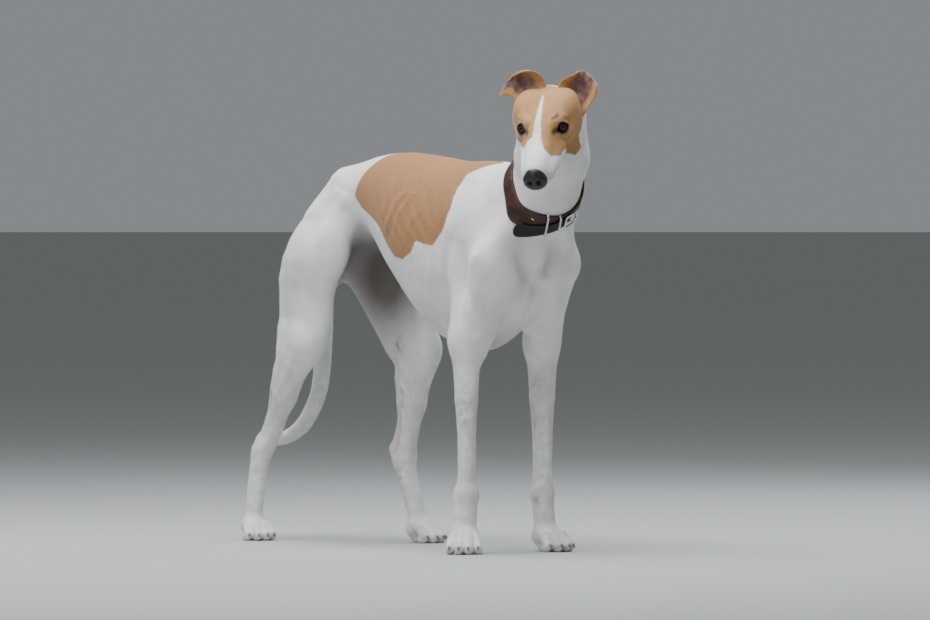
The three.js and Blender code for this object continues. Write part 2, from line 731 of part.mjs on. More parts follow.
const aboveTorso = bounded([flipped(NECK_CUT)], NECK_CELL);
const underHead = HEAD_SEAT.map((p) => bounded([flipped(p)], NECK_CELL));
const inNeck = (x, y, z) => Math.max(aboveTorso(x, y, z), Math.min(...underHead.map((f) => f(x, y, z))));
const NECK_BOX = { low: [214, -196, 458], high: [578, 136, 868] };
const neckPiece = net((x, y, z) => Math.max(flesh.at(x, y, z), inNeck(x, y, z)), NECK_BOX.low, NECK_BOX.high, NECK_CELL);
node("neck", trim(neckPiece, [flipped(NECK_CUT)]).subtract(trim(block(), HEAD_SEAT, GAP / 2)), coat);

const tailPiece = cast(flesh, [v(-344, 0, 580), ...TAIL.slice(1).map((t) => t.at)], {
  rings: 28, sides: 10, fans: 2, limit: 60, inside: bounded(tailCuts), up: LEFTWARD,
});
node("tail", trim(tailPiece, tailCuts), coat);

for (const side of ["right", "left"]) {
  const f = FORE[side];
  const h = HIND[side];
  const forePlanes = [...legCuts["fore_" + side], flipped(level(PAW_CUT))];
  const forearm = cast(flesh, [between(f.elbow, f.wrist, 0.12), between(f.elbow, f.wrist, 0.5), f.wrist, between(f.wrist, f.knuckle, 0.5)], {
    rings: 12, sides: 14, fans: 3, limit: 120, inside: bounded(forePlanes), up: v(1, 0, 0),
  });
  node("forearm_" + side, trim(forearm, forePlanes), coat);

  const upper = legCuts["hind_" + side];
  const kneeCut = plane(h.knee.clone().add(v(-8, 0, -26)), h.hock.clone().sub(h.knee));
  const hockCut = plane(h.hock.clone().add(v(4, 0, 34)), h.hock.clone().sub(h.knee));
  const thighCuts = [...upper, kneeCut];
  const thigh = cast(flesh, [between(h.hip, h.knee, 0.3), between(h.hip, h.knee, 0.6), h.knee], {
    rings: 8, sides: 22, fans: 5, limit: 190, inside: bounded(thighCuts), up: v(1, 0, 0),
  });
  node("thigh_" + side, trim(thigh, thighCuts), coat);
  const shankCuts = [flipped(kneeCut), hockCut];
  const shank = cast(flesh, [between(h.knee, h.hock, 0.22), between(h.knee, h.hock, 0.5), between(h.knee, h.hock, 0.72)], {
    rings: 7, sides: 14, fans: 3, limit: 120, inside: bounded(shankCuts), up: v(1, 0, 0),
  });
  node("shank_" + side, trim(shank, shankCuts), coat);
  const rearCuts = [flipped(hockCut), flipped(level(PAW_CUT))];
  const rear = cast(flesh, [between(h.hock, h.knee, 0.03), h.hock, between(h.hock, h.knuckle, 0.5)], {
    rings: 7, sides: 14, fans: 3, limit: 100, inside: bounded(rearCuts), up: v(1, 0, 0),
  });
  node("hock_" + side, trim(rear, rearCuts), coat);

  for (const end of ["fore", "hind"]) {
    const frame = pawFrames[end + "_" + side];
    const scale = PAW[end];
    const pawCuts = [level(PAW_CUT)];
    let paw = cast(flesh, [v(-6, 0, 30), v(22, 0, 22)].map((p) => p.applyMatrix4(frame)), {
      rings: 3, sides: 16, fans: 5, limit: 120, inside: bounded(pawCuts),
    });
    for (const toe of TOES) {
      const root = v(toe.reach - 1, toe.y + toe.splay, TOE_TIP_HEIGHT + 3).multiplyScalar(scale);
      const bend = root.clone().add(v(8, toe.splay * 0.2, -2));
      const point = root.clone().add(v(13.5, toe.splay * 0.35, -8.5));
      const line = [root, bend, point].map((p) => p.applyMatrix4(frame));
      paw = paw.add(tube(line, [3.4, 2.7, 0.8], 5));
    }
    node(end + "paw_" + side, trim(trim(paw, pawCuts), [FLOOR], 0), coat);
  }
}

// Head

const headShell = (spare) =>
  cast(flesh, [toHead(-74, 0, -14), toHead(-30, 0, -16), toHead(20, 0, -24), toHead(90, 0, -28)], {
    rings: 26, sides: 28, fans: 5, limit: 200, inside: bounded(HEAD_SEAT), spare,
  });
const headSolid = headShell(0);
const headSeat = headShell(GAP);
const noseField = group(noseForms(), 0, headFrame);
const noseShell = (spare) =>
  cast(noseField, [toHead(MUZZLE_LENGTH, 0, -20), toHead(MUZZLE_LENGTH + 5, 0, -21)], {
    rings: 1, sides: 16, fans: 4, limit: 60, spare,
  });

let face = headSolid;
for (const out of [1, -1]) {
  const eye = toHead(0, EYE_SPREAD * out, 0);
  const socket = solid(new THREE.IcosahedronGeometry(EYE_RADIUS + GAP, 3)).translate(eye.toArray());
  const almond = new THREE.Shape();
  almond.moveTo(-12, -1);
  almond.quadraticCurveTo(-1, 18, 12, 1);
  almond.quadraticCurveTo(0, -17, -12, -1);
  const opening = new THREE.ExtrudeGeometry(almond, { depth: 40, bevelEnabled: false, curveSegments: 8 });
  const aim = headWay(Math.cos(radians(EYE_AIM)), Math.sin(radians(EYE_AIM)) * out, 0.02);
  const across = new THREE.Vector3().crossVectors(headWay(0, 0, 1), aim).normalize();
  opening.applyMatrix4(new THREE.Matrix4().makeBasis(across, new THREE.Vector3().crossVectors(aim, across), aim));
  face = face.subtract(socket).subtract(solid(opening).translate(eye.toArray()));
}

// The line of the mouth, from under the nose back to the corner of the lips.
const LIPS = [v(MUZZLE_LENGTH, 0, -45), v(102, 17, -47), v(78, 30, -50), v(50, 36, -53), v(24, 42, -56)];
for (const out of [1, -1]) {
  const line = LIPS.map((p) => settled(flesh, toHead(p.x, p.y * out, p.z), toHead(p.x - 10, 0, -40)));
  const path = new THREE.CatmullRomCurve3(line).getPoints(14);
  face = face.subtract(tube(path, path.map((_, i) => lerp(2.2, 1.1, i / 14)), 6));
}
face = face.subtract(noseShell(GAP));
node("head", trim(face, HEAD_SEAT), tan);

let nose = noseShell(0);
for (const out of [1, -1]) {
  const hollow = [v(MUZZLE_LENGTH + 8, 7.5 * out, -25), v(MUZZLE_LENGTH + 30, 9.5 * out, -27)].map((p) => toHead(p.x, p.y, p.z));
  const slit = [v(MUZZLE_LENGTH + 16, 9 * out, -27), v(MUZZLE_LENGTH + 9, 24 * out, -30)].map((p) => toHead(p.x, p.y, p.z));
  nose = nose.subtract(tube(hollow, [3.4, 4.6], 8)).subtract(tube(slit, [1.4, 1.4], 6));
}
const groove = [v(MUZZLE_LENGTH + 19.5, 0, -24), v(MUZZLE_LENGTH + 17, 0, -44)].map((p) => toHead(p.x, p.y, p.z));
node("nose", nose.subtract(tube(groove, [0.9, 1.2], 6)), noseLeather);
for (const side of ["right", "left"]) {
  const out = side === "left" ? 1 : -1;
  node("eye_" + side, solid(new THREE.IcosahedronGeometry(EYE_RADIUS, 3)).translate(toHead(0, EYE_SPREAD * out, 0).toArray()), eyeGloss);
}

// Ears. Each is a thin leaf through three guide lines, its two edges and the back of its cup, that run
// from the root to the tip. Points are in the head's frame, with y counted outwards.
const EARS = {
  right: {
    front: [v(-52, 44, 4), v(-56, 54, 18), v(-62, 64, 27), v(-66, 76, 26), v(-71, 85, 18)],
    back: [v(-74, 34, 10), v(-88, 46, 32), v(-90, 54, 48), v(-80, 70, 43), v(-73, 86, 20)],
    rear: [v(-86, 4, 12), v(-96, 8, 38), v(-96, 26, 55), v(-86, 56, 54), v(-76, 86, 22)],
  },
  left: {
    front: [v(-50, 58, -20), v(-58, 72, -2), v(-72, 85, 12), v(-90, 88, 20), v(-112, 80, 12)],
    back: [v(-78, 42, 2), v(-92, 60, 18), v(-98, 66, 36), v(-106, 68, 40), v(-116, 76, 18)],
    rear: [v(-84, 12, 14), v(-90, 24, 34), v(-92, 44, 45), v(-104, 58, 42), v(-118, 72, 20)],
  },
};
const EAR_STEPS = 12;
const EAR_SPANS = 8;

function ear(side) {
  const out = side === "left" ? 1 : -1;
  const lines = Object.values(EARS[side]).map(
    (points) => new THREE.CatmullRomCurve3(points.map((p) => toHead(p.x, p.y * out, p.z))),
  );
  const across = (i) => new THREE.QuadraticBezierCurve3(
    lines[0].getPoint(i / EAR_STEPS),
    lines[1].getPoint(i / EAR_STEPS).multiplyScalar(2)
      .addScaledVector(lines[0].getPoint(i / EAR_STEPS), -0.5)
      .addScaledVector(lines[2].getPoint(i / EAR_STEPS), -0.5),
    lines[2].getPoint(i / EAR_STEPS),
  );
  const rows = Array.from({ length: EAR_STEPS + 1 }, (_, i) => across(i).getPoints(EAR_SPANS));
  const clamp = (n, top) => Math.min(top, Math.max(0, n));
  const point = (i, j) => rows[clamp(i, EAR_STEPS)][clamp(j, EAR_SPANS)];
  const faces = [1, -1].map((face) =>
    rows.map((row, i) =>
      row.map((p, j) => {
        const normal = new THREE.Vector3()
          .crossVectors(point(i + 1, j).clone().sub(point(i - 1, j)), point(i, j + 1).clone().sub(point(i, j - 1)))
          .normalize();
        const edge = Math.min(1, (Math.min(j, EAR_SPANS - j) + 0.7) / 2) * Math.min(1, (EAR_STEPS - i + 0.8) / 2);
        return p.clone().addScaledVector(normal, (face * EAR_THICKNESS * edge) / 2);
      }),
    ),
  );
  const vertices = faces.flat(2);
  const at = (f, i, j) => (f * (EAR_STEPS + 1) + i) * (EAR_SPANS + 1) + j;
  const index = [];
  const quad = (a, b, c, d) => index.push(a, b, c, a, c, d);
  for (let i = 0; i < EAR_STEPS; i++) {
    for (let j = 0; j < EAR_SPANS; j++) {
      quad(at(0, i, j), at(0, i + 1, j), at(0, i + 1, j + 1), at(0, i, j + 1));
      quad(at(1, i, j), at(1, i, j + 1), at(1, i + 1, j + 1), at(1, i + 1, j));
    }
    quad(at(0, i, 0), at(1, i, 0), at(1, i + 1, 0), at(0, i + 1, 0));
    quad(at(0, i, EAR_SPANS), at(0, i + 1, EAR_SPANS), at(1, i + 1, EAR_SPANS), at(1, i, EAR_SPANS));
  }
  for (let j = 0; j < EAR_SPANS; j++) {
    quad(at(0, 0, j), at(0, 0, j + 1), at(1, 0, j + 1), at(1, 0, j));
    quad(at(0, EAR_STEPS, j), at(1, EAR_STEPS, j), at(1, EAR_STEPS, j + 1), at(0, EAR_STEPS, j + 1));
  }
  const g = new THREE.BufferGeometry();
  g.setAttribute("position", new THREE.Float32BufferAttribute(vertices.flatMap((p) => [p.x, p.y, p.z]), 3));
  g.setIndex(index);
  const made = solid(g);
  return made.volume() < 0 ? solid(turned(g)) : made;
}
for (const side of ["right", "left"]) node("ear_" + side, ear(side).subtract(headSeat), tan);

// Collar. A place on the strap is an angle round the neck, a shift across the strap towards the head,
// and a height over the neck's skin.
const RING = { centre: v(380, 0, 648), normal: v(0.78, -0.36, 0.51).normalize() };
const RING_SIDE = new THREE.Vector3().crossVectors(UP, RING.normal).normalize();
const RING_DOWN = new THREE.Vector3().crossVectors(RING.normal, RING_SIDE).negate(); // to the throat
const TURN_STEPS = 56;
const skinAt = (angle, shift) => {
  const way = RING_DOWN.clone().multiplyScalar(Math.cos(angle)).addScaledVector(RING_SIDE, Math.sin(angle));
  const from = RING.centre.clone().addScaledVector(RING.normal, shift);
  return { way, from, radius: hit((x, y, z) => flesh.at(x, y, z), from, way, 160) };
};
const edges = (angle) => [-1, 0, 1].map((k) => skinAt(angle, (k * STRAP_WIDTH) / 2));

function onStrap(angle, shift, height) {
  const [low, middle, high] = edges(angle);
  const t = (2 * shift) / STRAP_WIDTH;
  const straight = lerp(low.radius, high.radius, (t + 1) / 2);
  const spare = Math.max(0, middle.radius - (low.radius + high.radius) / 2);
  return RING.centre.clone()
    .addScaledVector(RING.normal, shift)
    .addScaledVector(middle.way, straight + spare + STRAP_CLEARANCE + height);
}

function strap(angles, section, closed) {
  const rows = angles.map((angle, i) => section(angle, i / (angles.length - 1)).map(([s, h]) => onStrap(angle, s, h)));
  return loft(rows, closed);
}
const angles = (from, to, steps) => Array.from({ length: steps + 1 }, (_, i) => lerp(from, to, i / steps));
const box = (low, high, base, top) => [[low, base], [high, base], [high, top - 0.8], [high - 1, top], [low + 1, top], [low, top - 0.8]];

const HALF = STRAP_WIDTH / 2;
const collarAngles = angles(0, 2 * Math.PI, TURN_STEPS).slice(0, TURN_STEPS);
node("collar", strap(collarAngles, () => box(-HALF, HALF, 0, STRAP_THICKNESS), true), strapLeather);

const BUCKLE_ANGLE = 0.56;
const KEEPER_ANGLES = [0.25, -0.07];
const END_ANGLE = -0.73;
const SLIP = -21; // how much lower than the strap its free end hangs
const slipAt = (t) => SLIP * Math.sin(2.3 * t);
const endTop = 2 * STRAP_THICKNESS + GAP;
const endSection = (angle, t) => {
  const slip = slipAt(t);
  const round = Math.sqrt(Math.max(0.05, 1 - Math.max(0, (t - 0.9) / 0.1) ** 2));
  return box(slip - 12 * round, slip + 12 * round, STRAP_THICKNESS + GAP, endTop);
};
node("strap_end", strap(angles(BUCKLE_ANGLE, END_ANGLE, 22), endSection, false), strapLeather);

for (const [i, angle] of KEEPER_ANGLES.entries()) {
  const slip = slipAt((BUCKLE_ANGLE - angle) / (BUCKLE_ANGLE - END_ANGLE));
  const low = slip - 12 - 3;
  const high = HALF + 2.6;
  const top = endTop + 2;
  const line = [[high, 1.2], [high, top - 2], [high - 2.5, top], [0, top], [low + 2.5, top], [low, top - 2], [low, STRAP_THICKNESS + 2]];
  node("keeper_" + (i + 1), tube(line.map(([s, h]) => onStrap(angle, s, h)), line.map(() => 1.5), 6), steel);
}

const FRAME = { length: 0.34, half: HALF + 4, bar: 1.9 };
const frameTop = endTop + FRAME.bar + GAP;
const corners = [];
for (let i = 0; i < 24; i++) {
  const turn = (2 * Math.PI * i) / 24;
  const bulge = (c) => Math.sign(c) * Math.abs(c) ** 0.35;
  corners.push(onStrap(BUCKLE_ANGLE + (FRAME.length / 2) * bulge(Math.cos(turn)), -3 + FRAME.half * bulge(Math.sin(turn)), frameTop));
}
const prong = [-0.5, -0.1, 0.3, 0.5].map((k, i) => onStrap(BUCKLE_ANGLE + FRAME.length * k, -3, frameTop + [0, 1.2, 1.4, 0.4][i]));
node("buckle", ringTube(corners, FRAME.bar, 6).add(tube(prong, [1.7, 1.7, 1.6, 1.2], 6)), steel);

// The origin is the middle of the bounding box's floor.
dog.updateMatrixWorld(true);
const bounds = new THREE.Box3().setFromObject(dog, true);
dog.position.set(-(bounds.min.x + bounds.max.x) / 2, -(bounds.min.y + bounds.max.y) / 2, 0);

export default dog;
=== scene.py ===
# %% [markdown]
# # A standing greyhound
#
# The animal is short haired, so nearly everything that the eye reads as "greyhound" is muscle and bone
# under one tight skin. This notebook therefore works in the order of a taxidermist: first the form of the
# flesh, then one closed skin over it, then the markings, and last the hair, the eyes and the collar.
#
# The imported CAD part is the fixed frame.

import json
import math
from itertools import product

import bmesh
import bpy
import numpy as np
from mathutils import Matrix, Vector

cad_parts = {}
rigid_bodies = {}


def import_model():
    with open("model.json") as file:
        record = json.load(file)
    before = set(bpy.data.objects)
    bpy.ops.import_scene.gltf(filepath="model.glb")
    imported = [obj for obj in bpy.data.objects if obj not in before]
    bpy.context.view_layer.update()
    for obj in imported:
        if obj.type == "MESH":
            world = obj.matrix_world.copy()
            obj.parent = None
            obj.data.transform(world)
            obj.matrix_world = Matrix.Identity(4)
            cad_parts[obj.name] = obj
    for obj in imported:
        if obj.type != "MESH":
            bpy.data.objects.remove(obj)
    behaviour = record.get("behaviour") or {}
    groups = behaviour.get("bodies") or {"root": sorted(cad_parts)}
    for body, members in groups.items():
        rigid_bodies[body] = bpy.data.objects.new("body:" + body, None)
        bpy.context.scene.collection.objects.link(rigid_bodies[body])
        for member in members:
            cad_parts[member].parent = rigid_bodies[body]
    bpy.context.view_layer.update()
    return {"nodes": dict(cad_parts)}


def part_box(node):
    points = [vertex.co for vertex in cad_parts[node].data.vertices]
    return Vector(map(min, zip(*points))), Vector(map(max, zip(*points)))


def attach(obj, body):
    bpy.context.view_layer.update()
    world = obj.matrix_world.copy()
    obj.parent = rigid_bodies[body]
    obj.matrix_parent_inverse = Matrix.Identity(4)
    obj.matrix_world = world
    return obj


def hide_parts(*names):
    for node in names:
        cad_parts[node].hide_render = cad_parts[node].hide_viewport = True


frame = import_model()
MM = 0.001  # this notebook measures the animal in millimetres, and Blender in metres
print("CAD nodes:", len(frame["nodes"]))

# %% [markdown]
# ## Driving sizes
#
# These are the sizes that the CAD source is built from: the joints of each leg, the stations of the trunk,
# and the place and turn of the head. +X is the way the body faces and +Y is the animal's left.

# %% Driving sizes, in millimetres
WITHERS = 690
HIP_HEIGHT = 0.81 * WITHERS
HEAD_AT = (468, -67, 757)
HEAD_TURN, HEAD_NOD, HEAD_ROLL = -44, 35, 2.5
EYE_RADIUS = 11.5
EYE_SPREAD = 33
EYE_AIM = 27
LID_THICKNESS = 2.4
MUZZLE_LENGTH = 116
EAR_THICKNESS = 3.4
STRAP_WIDTH = 26
STRAP_THICKNESS = 3.4
STRAP_CLEARANCE = 1
GAP = 0.3
OUT = {"right": -1, "left": 1}  # the sign of y on each side

FORE = {
    "right": dict(blade=(222, -34, 650), shoulder=(308, -72, 505), elbow=(248, -82, 372),
                  wrist=(251, -86, 104), knuckle=(262, -96, 36), toeing=-36),
    "left": dict(blade=(222, 34, 650), shoulder=(308, 71, 505), elbow=(242, 84, 372),
                 wrist=(246, 79, 104), knuckle=(256, 80, 36), toeing=4),
}
HIND = {
    "right": dict(hip=(-244, -70, HIP_HEIGHT), knee=(-288, -100, 366), hock=(-414, -102, 172),
                  knuckle=(-418, -116, 36), toeing=-12),
    "left": dict(hip=(-230, 58, HIP_HEIGHT), knee=(-152, 76, 352), hock=(-200, 76, 158),
                 knuckle=(-162, 80, 36), toeing=14),
}
# x, height of the back, height of the belly, half the width, keel (how much narrower it is below)
TRUNK = [
    (-335, 612, 555, 34, 0.0),
    (-285, 656, 525, 56, 0.0),
    (-215, 689, 540, 70, 0.0),
    (-140, 707, 548, 68, 0.1),
    (-60, 712, 468, 82, 0.25),
    (30, 706, 392, 98, 0.4),
    (120, 697, 364, 96, 0.45),
    (200, 692, 360, 84, 0.45),
    (270, 668, 385, 72, 0.35),
    (345, 600, 440, 40, 0.2),
]
# place, radius, and how wide it is for its depth
NECK = [
    ((228, 0, 580), 94, 0.8),
    ((306, -1, 612), 84, 0.8),
    ((375, 1, 652), 67, 0.76),
    ((403, -4, 708), 67, 1.02),
    ((400, 4, 764), 55, 1.0),
]
TAIL = [
    ((-322, 0, 606), 21),
    ((-350, 0, 552), 18.5),
    ((-358, 0, 470), 17),
    ((-358, 0, 400), 16),
    ((-364, 0, 322), 15.5),
    ((-378, -1, 265), 14.5),
    ((-420, -3, 214), 14),
    ((-466, -4, 190), 12.5),
    ((-512, -6, 180), 10.5),
    ((-556, -8, 184), 6),
]
print("withers", WITHERS, "mm, hips", round(HIP_HEIGHT), "mm")

# %% [markdown]
# ## The flesh as a field
#
# A muscle is a soft tapered form that melts into its neighbours. Metaballs could do this, but they give
# little say over each blend. A distance field does: each form answers "how far is this point from my
# surface", and a smooth minimum melts one into the next over a blend width of its own.

# %% Small helpers for vectors and lines
def vec(*xyz):
    return np.array(xyz, float)


def unit(a):
    return a / np.linalg.norm(a)


def between(a, b, t, dx=0, dy=0, dz=0):
    """The point at share t of the way from a to b, moved by dx, dy and dz."""
    a, b = np.array(a, float), np.array(b, float)
    return a + (b - a) * t + vec(dx, dy, dz)


def turn_about(axis, degrees):
    return np.array(Matrix.Rotation(math.radians(degrees), 3, axis))


def spline(points, count):
    """A smooth line through points, at even steps of its parameter."""
    p = np.array(points, float)
    p = np.vstack([2 * p[0] - p[1], p, 2 * p[-1] - p[-2]])
    t = np.linspace(0, len(points) - 1, count)
    i = np.minimum(t.astype(int), len(points) - 2)
    t = (t - i)[:, None]
    a, b, c, d = p[i], p[i + 1], p[i + 2], p[i + 3]
    return 0.5 * (2 * b + (c - a) * t + (2 * a - 5 * b + 4 * c - d) * t**2 + (3 * b - a - 3 * c + d) * t**3)


HEAD_AXES = turn_about("Z", HEAD_TURN) @ turn_about("Y", HEAD_NOD) @ turn_about("X", HEAD_ROLL)


def to_head(x, y, z):
    """A point of the head's frame, in the animal's frame."""
    return HEAD_AXES @ vec(x, y, z) + vec(*HEAD_AT)


def in_head(points):
    """Points of the animal's frame, in the head's frame."""
    return (points - vec(*HEAD_AT)) @ HEAD_AXES


def smooth_step(low, high, x):
    t = np.clip((x - low) / (high - low), 0, 1)
    return t * t * (3 - 2 * t)


print("the nose points along", np.round(HEAD_AXES[:, 0], 2))


# %% Forms of the field
class Form:
    """A form of the field: its distance function, blend width, and a ball round all of it."""

    def __init__(self, at, blend, centre, reach):
        self.at, self.blend, self.centre, self.reach = at, blend, np.array(centre, float), reach


def limb(a, b, radius_a, radius_b, blend, wide=1.0, side=(0, 1, 0)):
    """A tapered tube between two points, squeezed or spread along side."""
    a, b, side = (np.array(p, float) for p in (a, b, side))
    line = b - a
    squeeze = 1 / wide**2 - 1

    def at(p):
        t = np.clip((p - a) @ line / (line @ line), 0, 1)
        d = p - a - t[:, None] * line
        distance = np.sqrt((d * d).sum(1) + (d @ side) ** 2 * squeeze)
        return (distance - radius_a - (radius_b - radius_a) * t) * min(1, wide)

    return Form(at, blend, (a + b) / 2, np.linalg.norm(line) / 2 + max(radius_a, radius_b) * max(1, wide))


def ball(centre, radii, blend):
    """An ellipsoid."""
    centre, radii = np.array(centre, float), np.array(radii, float)

    def at(p):
        d = (p - centre) / radii
        q = np.sqrt((d * d).sum(1))
        g = np.sqrt(((d / radii) ** 2).sum(1))
        return np.where(g < 1e-9, -radii.min(), q * (q - 1) / np.maximum(g, 1e-9))

    return Form(at, blend, centre, radii.max())


FAR = 1e6
SKIP_BEYOND = 40  # a form further off than this and than what is nearest isn't evaluated


def blended(forms, p):
    """Distance to all the forms, each melted into those before it."""
    d = np.full(len(p), FAR)
    for f in forms:
        away = np.sqrt(((p - f.centre) ** 2).sum(1)) - f.reach
        near = (away <= d + f.blend) & ((away <= np.maximum(SKIP_BEYOND, d)) | (d == FAR))
        if not near.any():
            continue
        e, old = f.at(p[near]), d[near]
        h = np.maximum(f.blend - np.abs(old - e), 0)
        melted = np.minimum(old, e) - (h * h / (4 * f.blend) if f.blend else 0)
        d[near] = np.where(old == FAR, e, melted)
    return d


def group(forms, blend, axes=np.eye(3), at=(0, 0, 0)):
    """Forms in a frame of their own, melted among themselves and then into the whole."""
    at = np.array(at, float)
    low = np.min([axes @ f.centre + at - f.reach for f in forms], axis=0)
    high = np.max([axes @ f.centre + at + f.reach for f in forms], axis=0)
    reach = np.linalg.norm(high - low) / 2
    return Form(lambda p: blended(forms, (p - at) @ axes), blend, (low + high) / 2, reach)


# %% The trunk
def smooth_through(xs, ys):
    """A smooth curve through stations, whose slopes are the mean of their neighbours'."""
    last = len(xs) - 1
    after, before = np.minimum(np.arange(last + 1) + 1, last), np.maximum(np.arange(last + 1) - 1, 0)
    slopes = (ys[after] - ys[before]) / (xs[after] - xs[before])

    def value(x):
        x = np.clip(x, xs[0], xs[-1])
        i = np.clip(np.searchsorted(xs, x, side="right") - 1, 0, last - 1)
        h = xs[i + 1] - xs[i]
        t = (x - xs[i]) / h
        return (ys[i] * (2 * t**3 - 3 * t**2 + 1) + slopes[i] * h * (t**3 - 2 * t**2 + t)
                + ys[i + 1] * (3 * t**2 - 2 * t**3) + slopes[i + 1] * h * (t**3 - t**2))

    return value


def trunk(rounding=34, widest=0.56):
    """Ribs, loin and belly: egg shaped sections, widest a little over half their height."""
    xs, *columns = (np.array(c, float) for c in zip(*TRUNK))
    back, belly, half, keel = (smooth_through(xs, c) for c in columns)
    rear, front = xs[0], xs[-1]

    def at(p):
        x, y, z = p.T
        inset = np.maximum(np.maximum(rear + rounding - x, x - front + rounding), 0) / rounding
        end = np.sqrt(np.maximum(0.02, 1 - inset**2))
        beyond = np.maximum(np.maximum(rear - x, x - front), 0)
        top, bottom = back(x), belly(x)
        middle = bottom + (top - bottom) * widest
        below = z < middle
        h = np.where(below, middle - bottom, top - middle) * end
        dz = z - middle
        w = half(x) * end * np.where(below, 1 - keel(x) * np.minimum(1, -dz / h) ** 2, 1)
        q = np.sqrt((y / w) ** 2 + (dz / h) ** 2)
        g = np.sqrt((y / w**2) ** 2 + (dz / h**2) ** 2)
        across = np.where(g < 1e-9, -np.minimum(w, h), q * (q - 1) / np.maximum(g, 1e-9))
        return np.where(beyond > 0, np.hypot(np.maximum(across, 0), beyond), across)

    return Form(at, 0, ((rear + front) / 2, 0, 540), 420)


# %% The legs
def fore_forms(side):
    """Shoulder blade, arm, forearm and wrist of one side."""
    j, out = FORE[side], OUT[side]
    blade, shoulder, elbow, wrist, knuckle = (np.array(j[k], float) for k in
                                              ("blade", "shoulder", "elbow", "wrist", "knuckle"))
    across = turn_about("Z", j["toeing"] * 0.6) @ vec(0, 1, 0)
    point = elbow + vec(-27, 2 * out, 6)

    def shaft(t, dx=0, dy=0):
        return between(elbow, wrist, t, dx, dy * out)

    return [
        limb(blade, between(shoulder, blade, 0.1), 24, 34, 34, 0.7),
        limb(between(blade, shoulder, 0.5, -8, 8 * out), shoulder, 22, 28, 24, 0.8),
        ball(shoulder + vec(4, 6 * out, 6), (26, 22, 30), 18),
        limb((366, 38 * out, 610), shoulder + vec(8, 4 * out, 20), 20, 25, 24),
        limb(shoulder, elbow, 34, 30, 22, 0.85),
        limb(between(blade, shoulder, 0.35, -34, 10 * out, -18), between(point, shoulder, 0.06, 0, 2 * out),
             34, 19, 30, 0.72),
        limb(between(shoulder, elbow, 0.1, 8, -30 * out, -6), shaft(0.02, 6, -12), 34, 22, 30, 0.8),
        limb(shaft(-0.02, -3), shaft(0.36, -2), 34, 26.5, 14, 0.76, across),
        limb(shaft(0.36, -2), shaft(0.66), 26.5, 20, 3, 0.76, across),
        limb(shaft(0.66), shaft(0.96), 20, 19, 3, 0.82, across),
        ball(point, (12, 9, 15), 10),
        ball(wrist + vec(1, 0, 0), (20, 21, 23), 10),
        ball(wrist + vec(-17, 5 * out, -6), (10, 8, 12), 8),
        limb(wrist, knuckle, 18, 18, 10, 1.12, across),
    ]


def hind_forms(side):
    """Hip, thigh, calf, heel cord and hock of one side."""
    j, out = HIND[side], OUT[side]
    hip, knee, hock, knuckle = (np.array(j[k], float) for k in ("hip", "knee", "hock", "knuckle"))
    toed = turn_about("Z", j["toeing"])
    across = toed @ vec(0, 1, 0)
    heel = hock + toed @ vec(-25, 0, 12)
    seat = vec(-310, 58 * out, 540)
    calf = between(knee, hock, 0.3, -20)
    return [
        limb((-215, 42 * out, 646), hip, 29, 44, 36, 0.8),
        ball(hip + vec(-6, 14 * out, -22), (54, 36, 58), 34),
        limb(hip, knee, 60, 42, 36, 0.62),
        limb(seat, between(knee, hock, 0.12, -28, 2 * out, 8), 43, 30, 34, 0.7),
        limb((-288, 22 * out, 522), between(knee, hock, 0.05, -45, -16 * out, 30), 38, 26, 30, 0.8),
        limb(between(hip, knee, 0.16, 28, -4 * out), knee + vec(15, 0, 10), 32, 25, 24, 0.62),
        ball(knee + vec(16, 2 * out, 2), (22, 23, 28), 16),
        limb(knee, between(knee, hock, 0.5), 37, 27, 18, 0.8, across),
        limb(calf, between(knee, hock, 0.58, -12), 27, 16, 16, 0.8, across),
        limb(between(knee, hock, 0.5), hock, 23, 18, 12, 0.86, across),
        limb(between(knee, hock, 0.5, -16), heel, 10, 9, 10, 0.8),
        limb(heel, between(heel, hock, 0.5, 0, 0, -16), 11, 15, 9, 0.9),
        ball(hock, (20, 19, 24), 10),
        limb(hock + vec(-4, 0, -6), knuckle, 19, 17, 10, 0.92, across),
    ]


# %% The paws, each in a frame with its origin on the floor under the knuckles
TOES = [(-19.5, 40, -5), (-7, 50, -1.5), (7, 50, 1.5), (19.5, 40, 5)]  # y, reach, splay
PAW_SCALE = {"fore": 1.0, "hind": 0.94}
TOE_TIP_HEIGHT = 12


def paw_forms(scale):
    forms = [ball(vec(4, 0, 26) * scale, vec(30, 25, 22) * scale, 6),
             ball(vec(10, 0, 7) * scale, vec(20, 19, 11) * scale, 6)]
    for y, reach, splay in TOES:
        root = vec(4, y * 0.72, 34) * scale
        knuckle = vec(reach * 0.55, y, 27) * scale
        tip = vec(reach, y + splay, TOE_TIP_HEIGHT) * scale
        forms.append(limb(root, knuckle, 10.5 * scale, 9.6 * scale, 4))
        forms.append(limb(knuckle, tip, 9.6 * scale, 8.8 * scale, 3))
        forms.append(ball(tip + vec(-6, 0, -5), vec(11, 8, 8) * scale, 3))
    return forms


PAWS = {}
for end, legs in (("fore", FORE), ("hind", HIND)):
    for side, leg in legs.items():
        knuckle = leg["knuckle"]
        PAWS[end, side] = (turn_about("Z", leg["toeing"]), vec(knuckle[0], knuckle[1], 0), PAW_SCALE[end])
print("paws:", len(PAWS))


